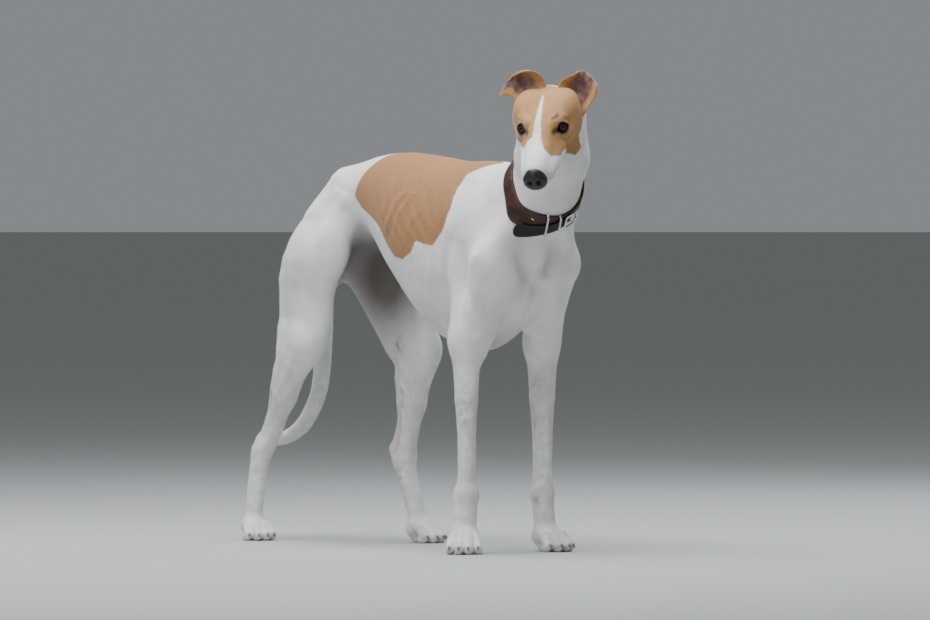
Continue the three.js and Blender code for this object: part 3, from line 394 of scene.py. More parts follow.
# %% The head, in a frame with its origin midway between the eyes
def head_forms():
    m = MUZZLE_LENGTH
    forms = [
        ball((-46, 0, -4), (56, 46, 30), 14),
        limb((-56, 0, 17), (-92, 0, 10), 8, 7, 22),
        ball((-8, 0, 2), (42, 34, 22), 20),
        limb((4, 0, -20), (m - 10, 0, -24), 34, 20, 14, 1.08),
        limb((20, 0, -3), (m - 4, 0, -13), 15, 9, 14, 1.2),
        limb((-36, 0, -50), (m - 24, 0, -51), 22, 11, 10, 1.15),
        ball((-80, 0, -26), (38, 46, 38), 26),
    ]
    lid = EYE_RADIUS + LID_THICKNESS
    for out in (1, -1):
        forms += [
            ball((-44, 37 * out, -24), (36, 23, 34), 16),
            limb((2, 40 * out, -16), (-44, 50 * out, -8), 8, 10, 14),
            ball((-52, 32 * out, 10), (40, 25, 24), 16),
            limb((8, 23 * out, 13), (-10, 36 * out, 14), 7, 6, 9),
            ball((0, (EYE_SPREAD - 0.6) * out, 0), (lid, lid, lid), 4),
            limb((26, 24 * out, -32), (m - 16, 14.5 * out, -32), 16, 14.5, 9),
        ]
    return forms


def nose_forms():
    return [ball((MUZZLE_LENGTH + 5, 0, -29), (14.5, 22, 18.5), 0),
            ball((MUZZLE_LENGTH - 3, 0, -14), (14, 12, 10), 12)]


def chain(points, blend):
    """Tapers from point to point: a place, a radius and, where it isn't round, its width for its depth."""
    wide = [p[2] if len(p) > 2 else 1.0 for p in points]
    return [limb(a[0], b[0], a[1], b[1], blend, (wide_a + wide_b) / 2)
            for a, b, wide_a, wide_b in zip(points, points[1:], wide, wide[1:])]


TAIL_STEPS = 33


def tail_points():
    """The tail's stations, joined by a smooth line so that it has no kinks."""
    places, radii = zip(*TAIL)
    at = np.linspace(0, len(TAIL) - 1, TAIL_STEPS)
    return list(zip(spline(places, TAIL_STEPS), np.interp(at, np.arange(len(TAIL)), radii)))


# %% All of the flesh
FLESH = [
    trunk(),
    group(chain(NECK, 8), 44),
    *(group(fore_forms(side), 30) for side in OUT),
    *(group(hind_forms(side), 34) for side in OUT),
    group(chain(tail_points(), 2), 14),
    group(head_forms(), 26, HEAD_AXES, HEAD_AT),
]
for side in OUT:
    for end in PAW_SCALE:
        axes, at, scale = PAWS[end, side]
        FLESH.append(group(paw_forms(scale), 10, axes, at))


def flesh(points):
    return blended(FLESH, points)


probe = flesh(np.array([[0.0, 0, 600], [0, 0, 900]]))
print("inside is negative, outside positive:", np.round(probe))

# %% [markdown]
# ## One skin over the flesh
#
# The real hide has no seam where a leg meets the body, so neither has this one. The field is sampled on a
# grid, coarsely at first and closely only near the surface. Surface nets then put one corner in each cell
# that the surface crosses, which gives even quads where marching cubes would give slivers. Each corner is
# last pulled exactly onto the field.

# %% Surface nets
def sampled(field, low, high, cell, levels=3):
    """The field on a grid of cells, refined level by level where the surface is near."""
    size = cell * 2**levels
    n = np.ceil((np.array(high, float) - low) / size).astype(int) + 1
    at = np.stack(np.meshgrid(*[np.arange(k) for k in n], indexing="ij"), -1).reshape(-1, 3)
    values = field(low + at * size).reshape(n)
    for _ in range(levels):
        near = np.abs(values) < size * 1.8
        size /= 2
        for axis in range(3):
            values, near = values.repeat(2, axis), near.repeat(2, axis)
        values[near] = field(low + np.argwhere(near) * size)
    return values


def surface_net(values, low, cell):
    """A corner in each cell that the surface crosses, and a quad round each grid edge that crosses it."""
    inside = values < 0
    n = np.array(values.shape)
    full = sum(inside[i:n[0] - 1 + i, j:n[1] - 1 + j, k:n[2] - 1 + k].astype(int)
               for i, j, k in product((0, 1), repeat=3))
    crossed = (full > 0) & (full < 8)
    cells = np.argwhere(crossed)
    number = np.full(crossed.shape, -1)
    number[crossed] = np.arange(len(cells))
    total, hits = np.zeros((len(cells), 3)), np.zeros(len(cells))
    quads = []
    for axis in range(3):
        second, third = (axis + 1) % 3, (axis + 2) % 3
        for u, w in product((0, 1), repeat=2):
            a = cells.copy()
            a[:, second] += u
            a[:, third] += w
            b = a.copy()
            b[:, axis] += 1
            va, vb = values[tuple(a.T)], values[tuple(b.T)]
            cut = (va < 0) != (vb < 0)
            p = a[cut].astype(float)
            p[:, axis] += va[cut] / (va[cut] - vb[cut])
            total[cut] += p
            hits[cut] += 1
        here = np.moveaxis(inside, axis, 0)
        edges = np.argwhere(np.moveaxis(here[:-1] != here[1:], 0, axis))
        edges = edges[(edges[:, second] > 0) & (edges[:, third] > 0)]
        ring = []
        for p, q in ((0, 0), (1, 0), (1, 1), (0, 1)):
            c = edges.copy()
            c[:, second] -= p
            c[:, third] -= q
            ring.append(number[tuple(c.T)])
        ring = np.stack(ring, 1)
        turned = ~inside[tuple(edges.T)]
        ring[turned] = ring[turned][:, ::-1]
        quads.append(ring)
    return low + cell * total / hits[:, None], np.concatenate(quads)


def settled(points, field, steps=3, most=3.0):
    """Points pulled onto the surface of a field along its slope."""
    for _ in range(steps):
        d = field(points)
        slope = np.stack([field(points + e) - d for e in np.eye(3) * 0.5], 1) / 0.5
        step = slope * (-d / np.maximum(0.25, (slope**2).sum(1)))[:, None]
        length = np.linalg.norm(step, axis=1)
        points = points + step * np.minimum(1, most / np.maximum(length, 1e-9))[:, None]
    return points


def mesh_of(name, points, faces):
    mesh = bpy.data.meshes.new(name)
    mesh.from_pydata([tuple(p) for p in points], [], [tuple(int(i) for i in f) for f in faces])
    mesh.validate()
    mesh.update()
    return mesh


def points_of(mesh):
    flat = np.empty(len(mesh.vertices) * 3)
    mesh.vertices.foreach_get("co", flat)
    return flat.reshape(-1, 3)


def normals_of(mesh):
    flat = np.empty(len(mesh.vertices) * 3, np.float32)
    mesh.vertex_normals.foreach_get("vector", flat)
    return flat.reshape(-1, 3).astype(float)


def put_points(mesh, points):
    mesh.vertices.foreach_set("co", np.asarray(points, float).ravel())
    mesh.update()


SKIN_CELL = 6.0
SKIN_LOW, SKIN_HIGH = vec(-590, -185, -18), vec(590, 165, 880)
values = sampled(flesh, SKIN_LOW, SKIN_HIGH, SKIN_CELL)
points, quads = surface_net(values, SKIN_LOW, SKIN_CELL)
skin = mesh_of("skin", settled(points, flesh), quads)
print("skin:", len(skin.vertices), "corners,", len(skin.polygons), "quads")


# %% [markdown]
# A face and a toe need finer quads than a flank. The quads there are divided once, and those round the
# eyes, lips and nose once more, with the new corners pulled onto the same field.

# %% Finer quads where the form is fine
def on_head(p):
    h = in_head(p)
    return (h[:, 0] > -70) & (np.abs(h[:, 1]) < 70) & (h[:, 2] > -72)


PAW_TOP = 58


def on_paws(p):
    return p[:, 2] < PAW_TOP


def divided(mesh, chosen):
    """Divides the faces whose middles are chosen once, and settles the head and the paws again."""
    bm = bmesh.new()
    bm.from_mesh(mesh)
    middles = np.array([f.calc_center_median()[:] for f in bm.faces])
    wanted = chosen(middles)
    faces = [f for f, w in zip(bm.faces, wanted) if w]
    edges = list({e for f in faces for e in f.edges})
    bmesh.ops.subdivide_edges(bm, edges=edges, cuts=1, use_grid_fill=True)
    bmesh.ops.triangulate(bm, faces=[f for f in bm.faces if len(f.verts) > 4])
    bm.to_mesh(mesh)
    bm.free()
    points = points_of(mesh)
    near = on_head(points) | on_paws(points)
    points[near] = settled(points[near], flesh, steps=2)
    put_points(mesh, points)


def on_face(p):
    """Round the eyes, along the lips and at the nose."""
    x, y, z = in_head(p).T
    eyes = (np.hypot(x - 3, np.abs(y) - 34) < 21) & (np.abs(z) < 20)
    lips = (x > 14) & (z < -30) & (z > -66)
    return eyes | lips | (x > 98)


# The skin of the right hind leg is moved level by level to the outline in the photograph. The CAD part keeps
# its own outline there, up to 12 mm away.
SHIFT_WAY = vec(0.545, 0.839, 0)
SHIFT_HEIGHTS = [100, 157, 193, 229, 301, 374, 410, 446, 482, 518, 554, 590, 627, 660]
SHIFTS = [0, 3, 12, 10, 8, 12, 10, 0, -9, -9, 0, 12, 3, 0]
points = points_of(skin)
right_hind = (1 - smooth_step(-60, -35, points[:, 1])) * (1 - smooth_step(-230, -150, points[:, 0]))
shift = np.interp(points[:, 2], SHIFT_HEIGHTS, SHIFTS) * right_hind
put_points(skin, points + np.outer(shift, SHIFT_WAY))

divided(skin, lambda p: on_head(p) | on_paws(p))
divided(skin, on_face)
print("skin:", len(skin.vertices), "corners after dividing")

# %% [markdown]
# ## Muscle, bone and skin folds
#
# Under the short coat the eye finds the ribs, the edge of the shoulder, the grooves between the muscles of
# the thigh, and the hollow in front of the heel cord. Each is a line on the skin that is pressed in or
# raised with a soft profile. A negative depth raises.

# %% Press lines into the skin
def from_line(points, line):
    """Distance to a line of straight pieces, in the plane or in space."""
    nearest = np.full(len(points), FAR)
    for a, b in zip(line, line[1:]):
        a, b = np.array(a, float), np.array(b, float)
        t = np.clip((points - a) @ (b - a) / ((b - a) @ (b - a)), 0, 1)
        nearest = np.minimum(nearest, np.linalg.norm(points - a - t[:, None] * (b - a), axis=1))
    return nearest


def press(mesh, lines):
    """Presses lines of a depth and a width into a mesh along its normals. A negative depth raises."""
    points, normals = points_of(mesh), normals_of(mesh)
    shift = np.zeros(len(points))
    for line, depth, width in lines:
        shift -= depth * np.exp(-((from_line(points, line) / width) ** 2))
    put_points(mesh, points + normals * shift[:, None])


def both_sides(line, depth, width):
    return [([(x, y * out, z) for x, y, z in line], depth, width) for out in (1, -1)]


BODY_LINES = [
    # the throat's column between its two grooves, and the notch of the breast
    ([(364, -36, 554), (347, -31, 527), (345, -27, 504), (340, -10, 485), (337, 8, 470)], 7.5, 12),
    ([(364, 33, 554), (348, 31, 527), (343, 25, 500), (340, 14, 478)], 7.5, 11),
    ([(365, -1, 543), (347, 6, 512), (342, 8, 489)], -5.0, 11),
    ([(336, 8, 462), (331, 5, 448), (318, 0, 428), (290, 0, 400)], 6.5, 10),
    # shoulder: its bone, the edge of the blade, the arm's front and rear
    *both_sides([(316, 107, 529), (306, 107, 520)], -4.0, 10),
    *both_sides([(331, 93, 480), (347, 58, 478), (340, 26, 470)], 3.0, 11),
    *both_sides([(250, 98, 545), (245, 97, 496), (277, 102, 466), (295, 102, 435), (293, 94, 396)], 3.0, 9),
    *both_sides([(209, 94, 553), (192, 91, 518), (176, 85, 487), (150, 66, 440), (122, 43, 401)], 5.5, 12),
    *both_sides([(204, 63, 661), (208, 80, 631), (197, 88, 603), (176, 91, 572), (162, 91, 549)], 2.2, 11),
    *both_sides([(232, 82, 640), (240, 98, 590), (246, 104, 540)], -2.0, 12),
    # loose skin over the lower ribs
    ([(85, -94, 517), (86, -88, 494), (81, -75, 463)], 2.2, 6),
    ([(128, -94, 537), (118, -90, 502), (94, -76, 463), (57, -48, 423)], 2.6, 7),
    ([(164, -91, 541), (152, -87, 502), (141, -77, 467)], 2.6, 7),
    ([(147, -93, 549), (139, -91, 518), (129, -83, 483)], -1.6, 5),
    # four folds behind the ribs, seen on the right side
    ([(44, -82, 641), (28, -90, 622), (14, -95, 595), (-3, -93, 571)], -3.0, 4.5),
    ([(73, -81, 640), (57, -89, 622), (43, -95, 603), (33, -98, 579)], -2.6, 4.5),
    ([(-14, -72, 661), (-10, -84, 633), (-15, -90, 602)], -2.2, 5),
    ([(104, -90, 607), (86, -95, 591), (77, -98, 568)], -1.8, 5),
    ([(58, -87, 632), (42, -93, 612), (28, -96, 585), (14, -96, 568)], 1.8, 5),
    ([(18, -80, 645), (4, -88, 620), (-6, -92, 595)], 1.6, 5),
    # hips, seat and thighs
    *both_sides([(-206, 60, 676), (-216, 66, 664)], -5.0, 14),
    *both_sides([(-300, 66, 590), (-318, 64, 560)], -4.0, 16),
    *both_sides([(-171, 72, 605), (-168, 66, 585), (-170, 60, 566), (-183, 56, 545)], 5.0, 10),
    *both_sides([(-196, 84, 625), (-208, 104, 590), (-216, 116, 560)], 2.6, 12),
    *both_sides([(-213, 113, 577), (-214, 119, 546), (-238, 120, 498), (-262, 120, 440)], 2.2, 13),
    *both_sides([(-286, 104, 560), (-310, 112, 480), (-312, 114, 410)], 3.6, 11),
    ([(-254, -115, 340), (-299, -113, 298), (-333, -117, 256)], 3.0, 9),
    *both_sides([(196, -24, 706), (214, -26, 700)], -3.0, 16),
]
for side, leg in FORE.items():
    out, elbow, wrist = OUT[side], leg["elbow"], leg["wrist"]
    for across in (20, -18):
        BODY_LINES.append(([between(elbow, wrist, 0.12, -8, across * out * 1.1),
                            between(elbow, wrist, 0.5, -7, across * out * 0.9),
                            between(elbow, wrist, 0.85, -7, across * out * 0.8)], 2.8, 6))
    BODY_LINES.append(([between(elbow, wrist, 0.1, 30, -6 * out),
                        between(elbow, wrist, 0.3, 26, -4 * out)], -2.0, 9))
for side, leg in HIND.items():
    out, knee, hock = OUT[side], leg["knee"], leg["hock"]
    for across in (15, -15):
        BODY_LINES.append(([between(knee, hock, 0.5, -9, across * 1.15),
                            between(knee, hock, 0.72, -11, across),
                            between(knee, hock, 0.92, -13, across)], 6.5, 7))
    BODY_LINES.append(([between(knee, hock, 0.05, 14, 27 * out),
                        between(knee, hock, 0.45, 4, 24 * out)], 2.0, 8))
press(skin, BODY_LINES)
print("lines pressed into the body:", len(BODY_LINES))


# %% Ribs, which run down and forward over the flank
RIB_SPACING = 33
RIB_DEPTH = 0.55
RIB_TOP, RIB_BEND, RIB_SWEEP = 672, 72, 35


def rib_wave(points):
    """High on a rib and low between two, over the flank alone."""
    x, y, z = points.T
    u = (RIB_TOP - z) / RIB_BEND  # a rib leans further the lower it is, then runs straight
    swept = x - np.where(u < 1, RIB_SWEEP * np.maximum(u, 0) ** 2, RIB_SWEEP * (2 * u - 1))
    zone = (smooth_step(-95, -40, x) * (1 - smooth_step(120, 175, x)) * smooth_step(500, 560, z)
            * (1 - smooth_step(650, 690, z)) * smooth_step(30, 60, np.abs(y)))
    return np.cos(2 * np.pi * (swept + 15) / RIB_SPACING) * zone


points = points_of(skin)
put_points(skin, points + normals_of(skin) * (RIB_DEPTH * rib_wave(points))[:, None])


# %% Lines of the face
def head_lines(lines):
    """Lines of the head's frame, on both sides of it."""
    return [([to_head(x, y * out, z) for x, y, z in line], depth, width)
            for line, depth, width in lines for out in (1, -1)]


# the line of the mouth, from under the nose to its corner
LIPS = [(MUZZLE_LENGTH, 0, -45), (102, 17, -47), (78, 30, -50), (50, 36, -53), (24, 42, -56)]


def onto_flesh(point, inward):
    """Where a line from inside the flesh out through a point leaves it."""
    way = unit(point - inward)
    steps = inward + way * np.linspace(0, 120, 481)[:, None]
    outside = flesh(steps) > 0
    return steps[np.argmax(outside)]


lip_lines = [[onto_flesh(to_head(x, y * out, z), to_head(x - 10, 0, -40)) for x, y, z in LIPS]
             for out in (1, -1)]
press(skin, [(line, 3.2, 2.2) for line in lip_lines])
press(skin, head_lines([
    ([(14, 21, 4), (44, 21, -8), (78, 17, -16)], 2.2, 7),
    ([(-14, 4, 26), (-52, 3, 31)], 0.9, 5),
    ([(-18, 33, 22), (8, 24, 17)], -1.6, 6),
    ([(-20, 50, -28), (-34, 55, -52)], 1.6, 9),
    ([(96, 13, -36), (84, 18, -34)], -1.2, 8),
    ([(24, 37, -22), (-6, 47, -28)], -1.8, 8),
]))
print("face lines pressed")

# %% [markdown]
# ## Eye openings
#
# The lids are a shell round the eyeball. An almond of it is pushed in along the line of sight, so the
# eyeball, a piece of its own, looks out between two rounded rims.

# %% Push the almonds in
ALMOND_LONG, ALMOND_HIGH = 11.6, 8.6
EYE_LIFT = 0.42  # the muzzle points down, but the dog looks level
ALMOND_TILT = 5.0
ALMOND_DROP = 0.6  # how far the opening's middle lies below the eyeball's
LOWER_LID = 0.88  # how high the lower half of the opening is for the upper
SOCKET = 4  # how far forward of the eyeball's centre the skin in the opening is pushed to


def eye_axes(out):
    """Across, up and outward at an eye."""
    aim = math.radians(EYE_AIM)
    ahead = HEAD_AXES @ unit(vec(math.cos(aim), math.sin(aim) * out, EYE_LIFT))
    across = unit(np.cross(HEAD_AXES @ vec(0, 0, 1), ahead))
    return across, np.cross(ahead, across), ahead


def almond(points, out):
    """Distance past the rim of the eye's almond, and how far forward of the eyeball's centre a point is."""
    across, up, ahead = eye_axes(out)
    d = points - to_head(0, EYE_SPREAD * out, 0)
    u, w, f = d @ across, d @ up, d @ ahead
    tilt = math.radians(ALMOND_TILT) * out
    u, w = u * math.cos(tilt) + w * math.sin(tilt), w * math.cos(tilt) - u * math.sin(tilt)
    w = w + ALMOND_DROP
    rim = ALMOND_HIGH * np.maximum(0, 1 - (np.abs(u) / ALMOND_LONG) ** 2.2)
    rim = np.where(w < 0, rim * LOWER_LID, rim)
    past = np.abs(w) - rim
    return np.where(np.abs(u) > ALMOND_LONG, np.maximum(past, np.abs(u) - ALMOND_LONG), past), f, ahead


points = points_of(skin)
for out in (1, -1):
    past, forward, ahead = almond(points, out)
    near = np.linalg.norm(points - to_head(0, EYE_SPREAD * out, 0), axis=1) < 20
    pushed = np.where(near & (forward > 0), 1 - smooth_step(-0.9, 0.5, past), 0)
    points -= ahead * (pushed * np.maximum(forward - SOCKET, 0))[:, None]
    rim = np.where(near & (forward > 0), np.exp(-((past - 1.6) / 1.3) ** 2), 0)
    points += ahead * (rim * 0.8)[:, None]
points[:, 2] = np.maximum(points[:, 2], 0.1)  # the soles stand flat on the floor
put_points(skin, points)
print("almonds", 2 * ALMOND_LONG, "by", 2 * ALMOND_HIGH, "mm")

# %% [markdown]
# ## Ears
#
# A folded ear is a thin leaf of skin. It is lofted through three guide lines, the front edge, the back of
# the cup and the rear edge, and thickens towards its root, where it grows out of the head.

# %% Loft the ears
EARS = {
    "right": dict(
        front=[(-52, 44, 4), (-56, 54, 18), (-62, 64, 27), (-66, 76, 26), (-71, 85, 18)],
        back=[(-74, 34, 10), (-88, 46, 32), (-90, 54, 48), (-80, 70, 43), (-73, 86, 20)],
        rear=[(-86, 4, 12), (-96, 8, 38), (-96, 26, 55), (-86, 56, 54), (-76, 86, 22)],
    ),
    "left": dict(
        front=[(-50, 58, -20), (-58, 72, -2), (-72, 85, 12), (-90, 88, 20), (-112, 80, 12)],
        back=[(-78, 42, 2), (-92, 60, 18), (-98, 66, 36), (-106, 68, 40), (-116, 76, 18)],
        rear=[(-84, 12, 14), (-90, 24, 34), (-92, 44, 45), (-104, 58, 42), (-118, 72, 20)],
    ),
}
EAR_STEPS, EAR_SPANS = 44, 32


def ear(side):
    """The corners of one ear: two faces, half a thickness off a sheet bent through the guide lines."""
    front, back, rear = (np.array([to_head(x, y * OUT[side], z) for x, y, z in spline(line, EAR_STEPS + 1)])
                         for line in (EARS[side][k] for k in ("front", "back", "rear")))
    middle = 2 * back - 0.5 * front - 0.5 * rear
    s = np.linspace(0, 1, EAR_SPANS + 1)[None, :, None]
    sheet = (1 - s) ** 2 * front[:, None] + 2 * s * (1 - s) * middle[:, None] + s**2 * rear[:, None]
    along = np.gradient(sheet, axis=0)
    over = np.gradient(sheet, axis=1)
    normal = np.cross(along, over)
    normal /= np.maximum(np.linalg.norm(normal, axis=2, keepdims=True), 1e-9)
    i, j = np.meshgrid(np.arange(EAR_STEPS + 1), np.arange(EAR_SPANS + 1), indexing="ij")
    rim = np.minimum(j, EAR_SPANS - j) / EAR_SPANS * 50
    tip = (EAR_STEPS - i) / EAR_STEPS * 60
    edge = np.sqrt(np.minimum(1, (rim + 0.6) / 5)) * np.sqrt(np.minimum(1, (tip + 0.8) / 5))
    root = 1 + 1.6 * np.clip(1 - flesh(sheet.reshape(-1, 3)).reshape(edge.shape) / 9, 0, 1) ** 2
    half = (EAR_THICKNESS / 2 * edge * root)[..., None]
    ripple = 0.5 * np.sin(j / EAR_SPANS * 21 + i * 0.05)[..., None] * (edge[..., None] > 0.95)
    faces = [sheet + normal * (half + ripple), sheet - normal * (half + ripple * 0.4)]
    return np.concatenate([f.reshape(-1, 3) for f in faces])


def ear_faces():
    """Quads over the front and the back of an ear, and round its rim."""
    a, b = np.arange(2 * (EAR_STEPS + 1) * (EAR_SPANS + 1)).reshape(2, EAR_STEPS + 1, EAR_SPANS + 1)
    return np.concatenate([np.stack([corner.ravel() for corner in quads], 1) for quads in (
        (a[:-1, :-1], a[1:, :-1], a[1:, 1:], a[:-1, 1:]),
        (b[:-1, :-1], b[:-1, 1:], b[1:, 1:], b[1:, :-1]),
        (a[:-1, 0], b[:-1, 0], b[1:, 0], a[1:, 0]),
        (a[:-1, -1], a[1:, -1], b[1:, -1], b[:-1, -1]),
        (a[0, :-1], a[0, 1:], b[0, 1:], b[0, :-1]),
        (a[-1, :-1], b[-1, :-1], b[-1, 1:], a[-1, 1:]),
    )])


def outward(mesh):
    """The same mesh with its faces pointing out."""
    bm = bmesh.new()
    bm.from_mesh(mesh)
    bmesh.ops.recalc_face_normals(bm, faces=bm.faces)
    bm.to_mesh(mesh)
    bm.free()
    return mesh


ears = {side: outward(mesh_of("ear", ear(side), ear_faces())) for side in OUT}
print("ears:", sum(len(m.polygons) for m in ears.values()), "quads")

# %% [markdown]
# ## Markings as distances
#
# A greyhound's patches have ragged edges a few hairs wide. Painting them on the corners of the mesh would
# blur them, so each corner stores how far inside a patch it lies, in millimetres, and the material turns
# that distance and some noise into a crisp edge.

# %% The markings
BODY_PATCH = [  # x and z on the flank
    (-101, 712), (-118, 690), (-132, 668), (-147, 635), (-122, 612), (-66, 594), (-28, 573), (-4, 548),
    (26, 525), (57, 521), (87, 534), (102, 554), (149, 546), (179, 574), (197, 614), (197, 651),
    (204, 672), (236, 685), (262, 700), (262, 790), (-101, 790),
]


def inside_outline(x, z, outline):
    """Signed distance into a closed outline."""
    closed = outline + outline[:1]
    nearest = from_line(np.stack([x, z], 1), closed)
    inside = np.zeros(len(x), bool)
    for a, b in zip(closed, closed[1:]):
        crossing = (b[0] - a[0]) * (z - a[1]) / (b[1] - a[1] + 1e-9) + a[0]
        inside ^= ((a[1] > z) != (b[1] > z)) & (x < crossing)
    return np.where(inside, nearest, -nearest)


def tan_on_body(points):
    """The saddle patch, seen on the right flank and guessed on the left."""
    x, y, z = points.T
    left = smooth_step(-10, 30, y)  # the far flank's patch is a little higher and further back
    return inside_outline(x + 22 * left, z - 18 * left, BODY_PATCH)


BLAZE_MIDDLE = -4  # the white blaze runs a little to the right of the head's middle
BLAZE_WIDTHS = [-75, -50, 8, 40, 58, 72, 84], [-3, 2.2, 4.8, 7.5, 11, 17, 34]
LEFT_CHEEK = [-60, -40, -6, 2, 31, 50, 75], [-50, -60, -66, -56, -26, -27, -10]
RIGHT_CHEEK = [-40, 44], [-44, -14]


def tan_on_head(points):
    """The head's two patches, with the blaze between them and their lower edges on the cheeks."""
    x, y, z = in_head(points).T
    left = y > BLAZE_MIDDLE
    off_blaze = np.abs(y - BLAZE_MIDDLE) - np.interp(x, *BLAZE_WIDTHS)
    front = np.where(left, 74, 44) - x
    lower = z - np.where(left, np.interp(x, *LEFT_CHEEK), np.interp(x, *RIGHT_CHEEK))
    rear = x - np.clip(-45 - 1.25 * (z + 20), -101, -26)
    return np.minimum(np.minimum(off_blaze, front), np.minimum(lower, rear))


def head_share(points):
    x, _, z = in_head(points).T
    return smooth_step(-125, -95, x) * smooth_step(-84, -72, z)


def dark_skin(points):
    """Black skin at the lids, the lips and a few spots."""
    dark = np.zeros(len(points))
    for out in (1, -1):
        past, forward, _ = almond(points, out)
        near = np.linalg.norm(points - to_head(0, EYE_SPREAD * out, 0), axis=1) < 24
        dark = np.maximum(dark, np.where(near & (forward > 0), 1 - smooth_step(2.2, 5.0, past), 0))
        corner = from_line(points, [to_head(12, 29 * out, 5), to_head(26, 24 * out, 7)])
        dark = np.maximum(dark, 0.85 * (1 - smooth_step(2.0, 8.5, corner)))
    for line in lip_lines:
        dark = np.maximum(dark, 0.8 * (1 - smooth_step(0.8, 2.6, from_line(points, line))))
    brow = np.minimum(from_line(points, [to_head(-1, 27, 21), to_head(6, 22, 20)]),
                      np.linalg.norm(points - to_head(-6, 28, 22), axis=1) + 1)
    wart = np.linalg.norm(points - to_head(8, 42, -52), axis=1)
    spots = np.maximum(0.85 * (1 - smooth_step(2.5, 7, brow)), 0.7 * (1 - smooth_step(2, 5, wart)))
    return np.maximum(dark, spots)


def bare_skin(points):
    """Thin hair that lets pink skin through: groin, inner thighs, the hollow of the hock, the muzzle."""
    x, y, z = points.T
    groin = np.exp(-(((x + 190) / 80) ** 2 + (y / 46) ** 2 + ((z - 500) / 90) ** 2))
    belly = 0.4 * np.exp(-(((x - 20) / 170) ** 2 + (y / 40) ** 2 + ((z - 400) / 60) ** 2))
    hollow = sum(np.exp(-(from_line(points, [between(j["knee"], j["hock"], 0.5, -9, 15 * s),
                                             between(j["knee"], j["hock"], 0.92, -13, 15 * s)]) / 9) ** 2)
                 for j in HIND.values() for s in (1, -1))
    h = in_head(points)
    muzzle = 0.35 * smooth_step(70, 110, h[:, 0]) * (np.abs(h[:, 1]) < 60)
    return np.clip(0.4 * groin + belly + 0.8 * hollow + muzzle, 0, 1)


def groin_skin_and_painted_shade(points):
    """Painted shade between the thighs and under the flank and the chest, over darker, nearly bare skin."""
    x, y, z = points.T
    inner = 1 - smooth_step(48, 64, np.abs(y))
    thighs = np.exp(-(((x + 190) / 85) ** 2 + ((z - 485) / 115) ** 2)) * inner
    keel = 0.5 * np.exp(-(((x - 220) / 60) ** 2 + (y / 34) ** 2 + ((z - 385) / 40) ** 2))
    return np.clip(np.maximum(1.15 * thighs, keel), 0, 1)


SPOTS = [  # place, radius along the leg, strength
    ((-165, 39, 363), 11, 1.0), ((-175, 42, 339), 9, 0.5), ((-195, 60, 123), 10, 0.8),
    ((-406, -119, 131), 9, 0.6), ((268, -101, 267), 13, 0.45), ((264, -100, 242), 13, 0.6),
    ((266, -98, 200), 9, 0.3), ((251, 62, 301), 13, 0.6), ((239, 65, 227), 11, 0.7),
    ((257, 60, 95), 10, 0.7), ((238, 62, 257), 13, 0.45), ((-172, 51, 275), 7, 0.8),
    ((-177, 52, 252), 7, 0.9), ((-185, 56, 231), 6, 0.7), ((320, -30, 470), 20, 0.25),
    ((300, -96, 450), 24, 0.25),
]


def mottled(points):
    """Grey skin that shows through on the legs: a faint ticking, and the larger spots."""
    grey = (1 - smooth_step(250, 420, points[:, 2])) * 0.25
    for at, radius, strength in SPOTS:
        off = (points - vec(*at)) / vec(radius, radius, radius * 1.4)
        grey = np.maximum(grey, strength * np.exp(-(off**2).sum(1)))
    return grey


TRUNK_WAY, LEG_WAY, NECK_WAY = vec(-0.95, 0, -0.3), vec(-0.15, 0, -1.0), vec(-0.55, 0, -0.85)
HEAD_WAY = HEAD_AXES @ unit(vec(-1, 0, -0.15))


def hair_way(points):
    """The way the hair lies: back along the head, neck and trunk, and down the legs."""
    x, _, z = in_head(points).T
    head = smooth_step(-80, -50, x) * smooth_step(-90, -70, z)
    neck = smooth_step(-40, 90, (points - vec(310, 0, 610)) @ vec(0.5, 0, 0.87))
    legs = 1 - smooth_step(400, 540, points[:, 2])
    way = np.tile(TRUNK_WAY, (len(points), 1))
    for share, part_way in ((legs, LEG_WAY), (neck, NECK_WAY), (head, HEAD_WAY)):
        way = way * (1 - share)[:, None] + np.outer(share, part_way)
    return way / np.linalg.norm(way, axis=1, keepdims=True)


def store(mesh, name, values, kind="FLOAT"):
    """Values for the mesh's corners, kept as a named attribute."""
    attribute = mesh.attributes.get(name) or mesh.attributes.new(name, kind, "POINT")
    field = "vector" if kind == "FLOAT_VECTOR" else "value"
    attribute.data.foreach_set(field, np.asarray(values, np.float32).ravel())


TAN_LIMIT = 40  # distances into or out of a patch are kept up to this


def mark(mesh):
    """Stores all that the coat's material and the hair read from the skin."""
    points = points_of(mesh)
    head = head_share(points)
    tan = np.maximum(tan_on_body(points), np.where(head > 0.01, tan_on_head(points), -FAR))
    store(mesh, "tan", np.clip(tan, -TAN_LIMIT, TAN_LIMIT))
    store(mesh, "head", head)
    store(mesh, "dark", dark_skin(points))
    store(mesh, "bare", bare_skin(points))
    store(mesh, "groin", groin_skin_and_painted_shade(points))
    store(mesh, "mottle", mottled(points))
    store(mesh, "inner_ear", np.zeros(len(points)))
    store(mesh, "way", hair_way(points), "FLOAT_VECTOR")
    return tan


tan = mark(skin)
print("share of the skin that is tan:", round(float((tan > 0).mean()), 2))
